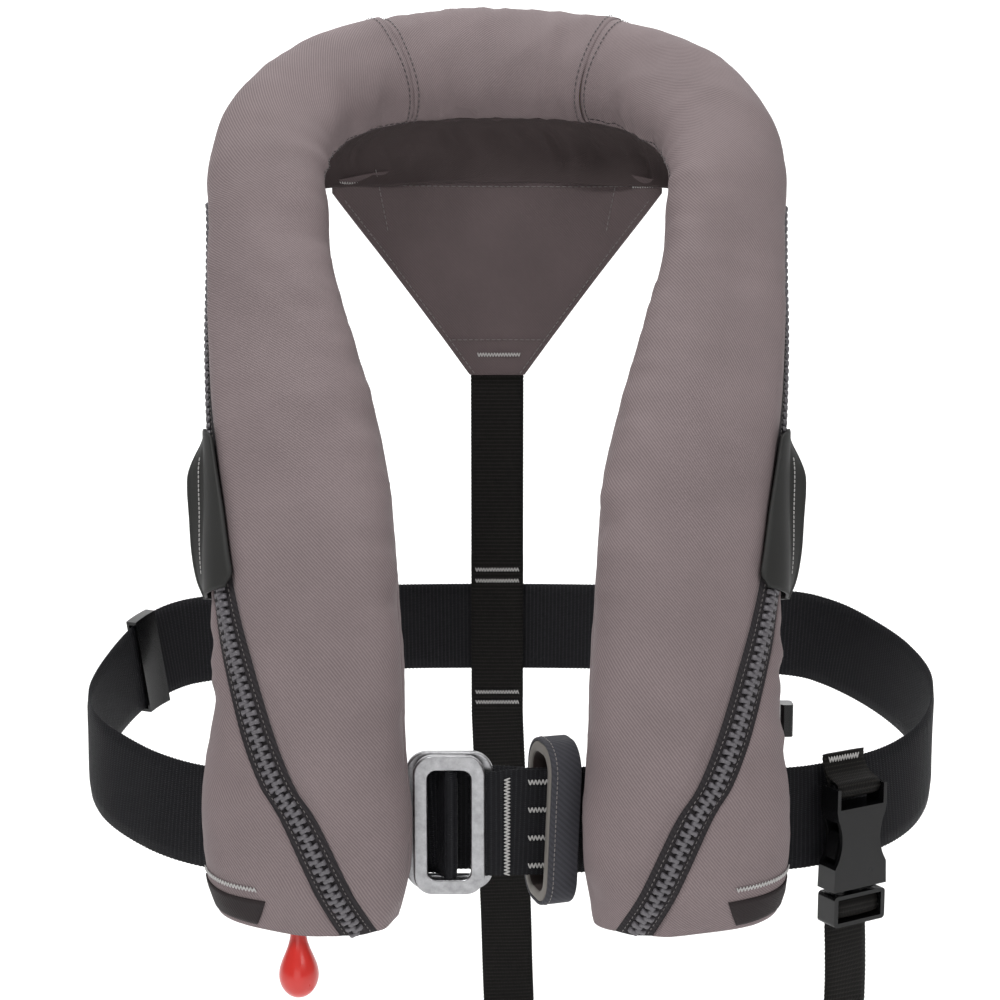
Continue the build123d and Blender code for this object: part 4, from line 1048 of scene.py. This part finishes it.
loop_points = [at_buckle(outward, up) for outward, up in
               ((-8.6, 15), (-8.3, 11), (-5.4, 6.2), (-1.5, 4.0), (2.2, 2.9), (3.7, 0.2), (2.2, -3.0),
                (-1.2, -3.6), (-3.9, -1.0), (-4.8, 3.2), (-7.6, 7.6))]
webbing("buckle_webbing", loop_points, [ALONG_BAR] * len(loop_points), 25.0, slot="strap_webbing",
        wave=0.0, thick=1.5, rib=0.25, replaces=("release_buckle_loop",))
bar_tack("buckle_webbing_tack", at_buckle(-7.2, 12.5, -10), at_buckle(-7.2, 12.5, 8), OUTWARD, width=3.0)


# ---- harness loop
yaw = radians(18.0)
LOOP_IN = Vector((-sin(yaw), cos(yaw), 0))
LOOP_ACROSS = Vector((-cos(yaw), -sin(yaw), 0))
LOOP_CENTRE = Vector((25.5, -157.5, -291))
LOOP_HALF_DEEP, LOOP_HALF_HIGH = 17.0, 38.0


def rounded_loop(half_deep, half_high, radius, count=12):
    """Points round a rounded rectangle, in the loop's own plane."""
    points = []
    for corner, (sx, sy) in enumerate(((1, 1), (-1, 1), (-1, -1), (1, -1))):
        for k in range(count + 1):
            angle = pi / 2 * (corner + k / count)
            points.append((sx * (half_deep - radius) + radius * cos(angle),
                           sy * (half_high - radius) + radius * sin(angle)))
    return points


def loop_band(name, inset, wall, half_width, material, replaces):
    """A band of cloth round the harness loop with softened edges."""
    profile = [(-1, 0.15), (-0.92, 0.0), (0, -0.02), (0.92, 0.0), (1, 0.15), (1, 0.85), (0.92, 1.0),
               (0, 1.0), (-0.92, 1.0), (-1, 0.85)]
    outline = rounded_loop(LOOP_HALF_DEEP, LOOP_HALF_HIGH, 14.0)
    verts, uvs = [], []
    length = 0.0
    for index, (x, y) in enumerate(outline):
        before, after = outline[index - 1], outline[(index + 1) % len(outline)]
        slope = Vector((after[0] - before[0], after[1] - before[1])).normalized()
        inward = Vector((-slope.y, slope.x))
        length += (Vector((x, y)) - Vector(before)).length if index else 0.0
        for side, deep in profile:
            depth = inset + wall * deep
            point = Vector((x, y)) + inward * depth
            lean = 1.5 * point.y / LOOP_HALF_HIGH
            verts.append(LOOP_CENTRE + LOOP_IN * point.x + Vector((0, 0, point.y))
                         + LOOP_ACROSS * (side * half_width - lean))
            uvs.append((length, side * half_width + depth))
    rows, cols = len(outline), len(profile)
    faces = grid_faces(rows, cols, closed=True)
    last = (rows - 1) * cols
    for k in range(cols):
        faces.append((last + k, last + (k + 1) % cols, (k + 1) % cols, k))
    return make_piece(name, verts, faces, material, uvs=uvs, replaces=replaces)


loop_band("harness_loop_band", 0.0, 1.6, 7.0, SLEEVE, ("harness_loop_sleeve",))
loop_band("harness_loop_pad", 1.7, 4.6, 7.3, LOOP_EDGE, ("harness_loop_lining",))
# a thin dark sheet over the pad's inner face: painted shade inside the loop
loop_band("harness_loop_inside_shade", 6.2, 0.5, 6.6, LOOP_INSIDE_SHADE, ())
loop_stitch = []
for x, y in rounded_loop(LOOP_HALF_DEEP, LOOP_HALF_HIGH, 14.0):
    point = LOOP_CENTRE + LOOP_IN * x + Vector((0, 0, y)) + LOOP_ACROSS * (4.6 - 1.5 * y / LOOP_HALF_HIGH)
    out = (LOOP_IN * x / LOOP_HALF_DEEP + Vector((0, 0, y / LOOP_HALF_HIGH))).normalized()
    loop_stitch.append((point, out))
thread_row("harness_loop_stitching", spots_along(loop_stitch + loop_stitch[:1], 2.2), GREY_THREAD, length=1.5,
           radius=0.25)

# ---- hem pockets
POCKET_FROM, POCKET_TO = 104, 160      # angles of the pocket round the lobe
for side, sign in BOTH_SIDES:
    lobe_lift = cloth_lift(LOBE_SEEDS[side] + 11, back_low, back_high)
    t = MIDDLE + sign * 18.12
    spots = []
    count = 44
    low, high = arc(t, POCKET_FROM), arc(t, POCKET_TO)
    for k in range(count):
        s = low + (high - low) * (k + 0.5) / count
        point, ahead = skin(t, s, lobe_lift(t, s) + 0.4), skin(t, s + 0.5, lobe_lift(t, s + 0.5) + 0.4)
        out = skin_normal(t, s)
        along = (ahead - point).normalized()
        lean = along * (0.5 if k % 2 else -0.5)
        spots.append((point + out * 0.2, out.cross(along) + lean, out))
    thread_row(f"{side}_hem_tack", spots, PALE_THREAD, length=2.6, radius=TACK_THREAD)
    mouth_top, mouth_foot = MIDDLE + sign * 18.3, MIDDLE + sign * 18.8
    # the pocket mouth is a dark patch: painted shadow of the opening
    wrap(f"{side}_pocket_mouth", min(mouth_top, mouth_foot), max(mouth_top, mouth_foot),
               lambda t: arc(t, POCKET_FROM - 4 + 14 * abs(abs(t - MIDDLE) - 18.3)),
               lambda t: arc(t, POCKET_TO + 6 - 14 * abs(abs(t - MIDDLE) - 18.3)),
               lambda t, s: lobe_lift(t, s) + 0.7, SHADE_CLOTH, 0.8, spacing=1.6)

# ---- camera, light and floor
camera_data = bpy.data.cameras.new("camera")
camera_data.lens = 65.7
camera_data.sensor_width = 36.0
camera_data.clip_start = 0.01
camera = bpy.data.objects.new("camera", camera_data)
camera.location = (0.0016, -0.9636, -0.0302)
camera.rotation_euler = (radians(82), 0, 0)
bpy.context.scene.collection.objects.link(camera)
bpy.context.scene.camera = camera


def soft_light(name, location, target, size, power):
    """A large area light that faces a point."""
    data = bpy.data.lights.new(name, "AREA")
    data.shape = "RECTANGLE"
    data.size, data.size_y = size
    data.energy = power
    light = bpy.data.objects.new(name, data)
    light.location = location
    aim = Vector(target) - Vector(location)
    light.rotation_euler = aim.to_track_quat("-Z", "Y").to_euler()
    bpy.context.scene.collection.objects.link(light)


soft_light("key", (-0.8, -1.3, 1.8), (0, -0.1, -0.15), (0.9, 0.8), 30)
soft_light("fill", (1.1, -1.7, 0.9), (0, -0.1, -0.2), (1.0, 1.0), 11)
soft_light("low_front", (-0.2, -2.3, -0.2), (0, 0, -0.25), (1.4, 0.8), 4)
soft_light("backdrop", (0, 0.9, 2.2), (0, 2.4, -0.2), (3.0, 1.2), 70)

world = bpy.data.worlds.new("studio")
bpy.context.scene.world = world
world.use_nodes = True
world.node_tree.nodes["Background"].inputs["Color"].default_value = (1, 1, 1, 1)
world.node_tree.nodes["Background"].inputs["Strength"].default_value = 0.22

floor_z = cad_box[0][2] - 0.002
verts, faces = [], []
SWEEP = 24
profile = [(-3.0, 0.0), (1.2, 0.0)]
for number in range(1, SWEEP + 1):
    angle = pi / 2 * number / SWEEP
    profile.append((1.2 + 1.6 * sin(angle), 1.6 * (1 - cos(angle))))
profile.append((2.8, 5.0))
for y, z in profile:
    verts += [(-6.0, y, floor_z + z), (6.0, y, floor_z + z)]
stage_mesh = bpy.data.meshes.new("studio_sweep")
stage_mesh.from_pydata(verts, [], grid_faces(len(profile), 2))
stage_mesh.polygons.foreach_set("use_smooth", [True] * len(stage_mesh.polygons))
pale = Nodes("pale_paper")
pale.set(Base_Color=(0.95, 0.95, 0.95, 1), Roughness=0.9, Emission_Color=(1, 1, 1, 1), Emission_Strength=0.15)
stage_mesh.materials.append(pale.material)
stage = bpy.data.objects.new("studio_sweep", stage_mesh)
bpy.context.scene.collection.objects.link(stage)
bpy.context.scene.view_settings.view_transform = "Standard"
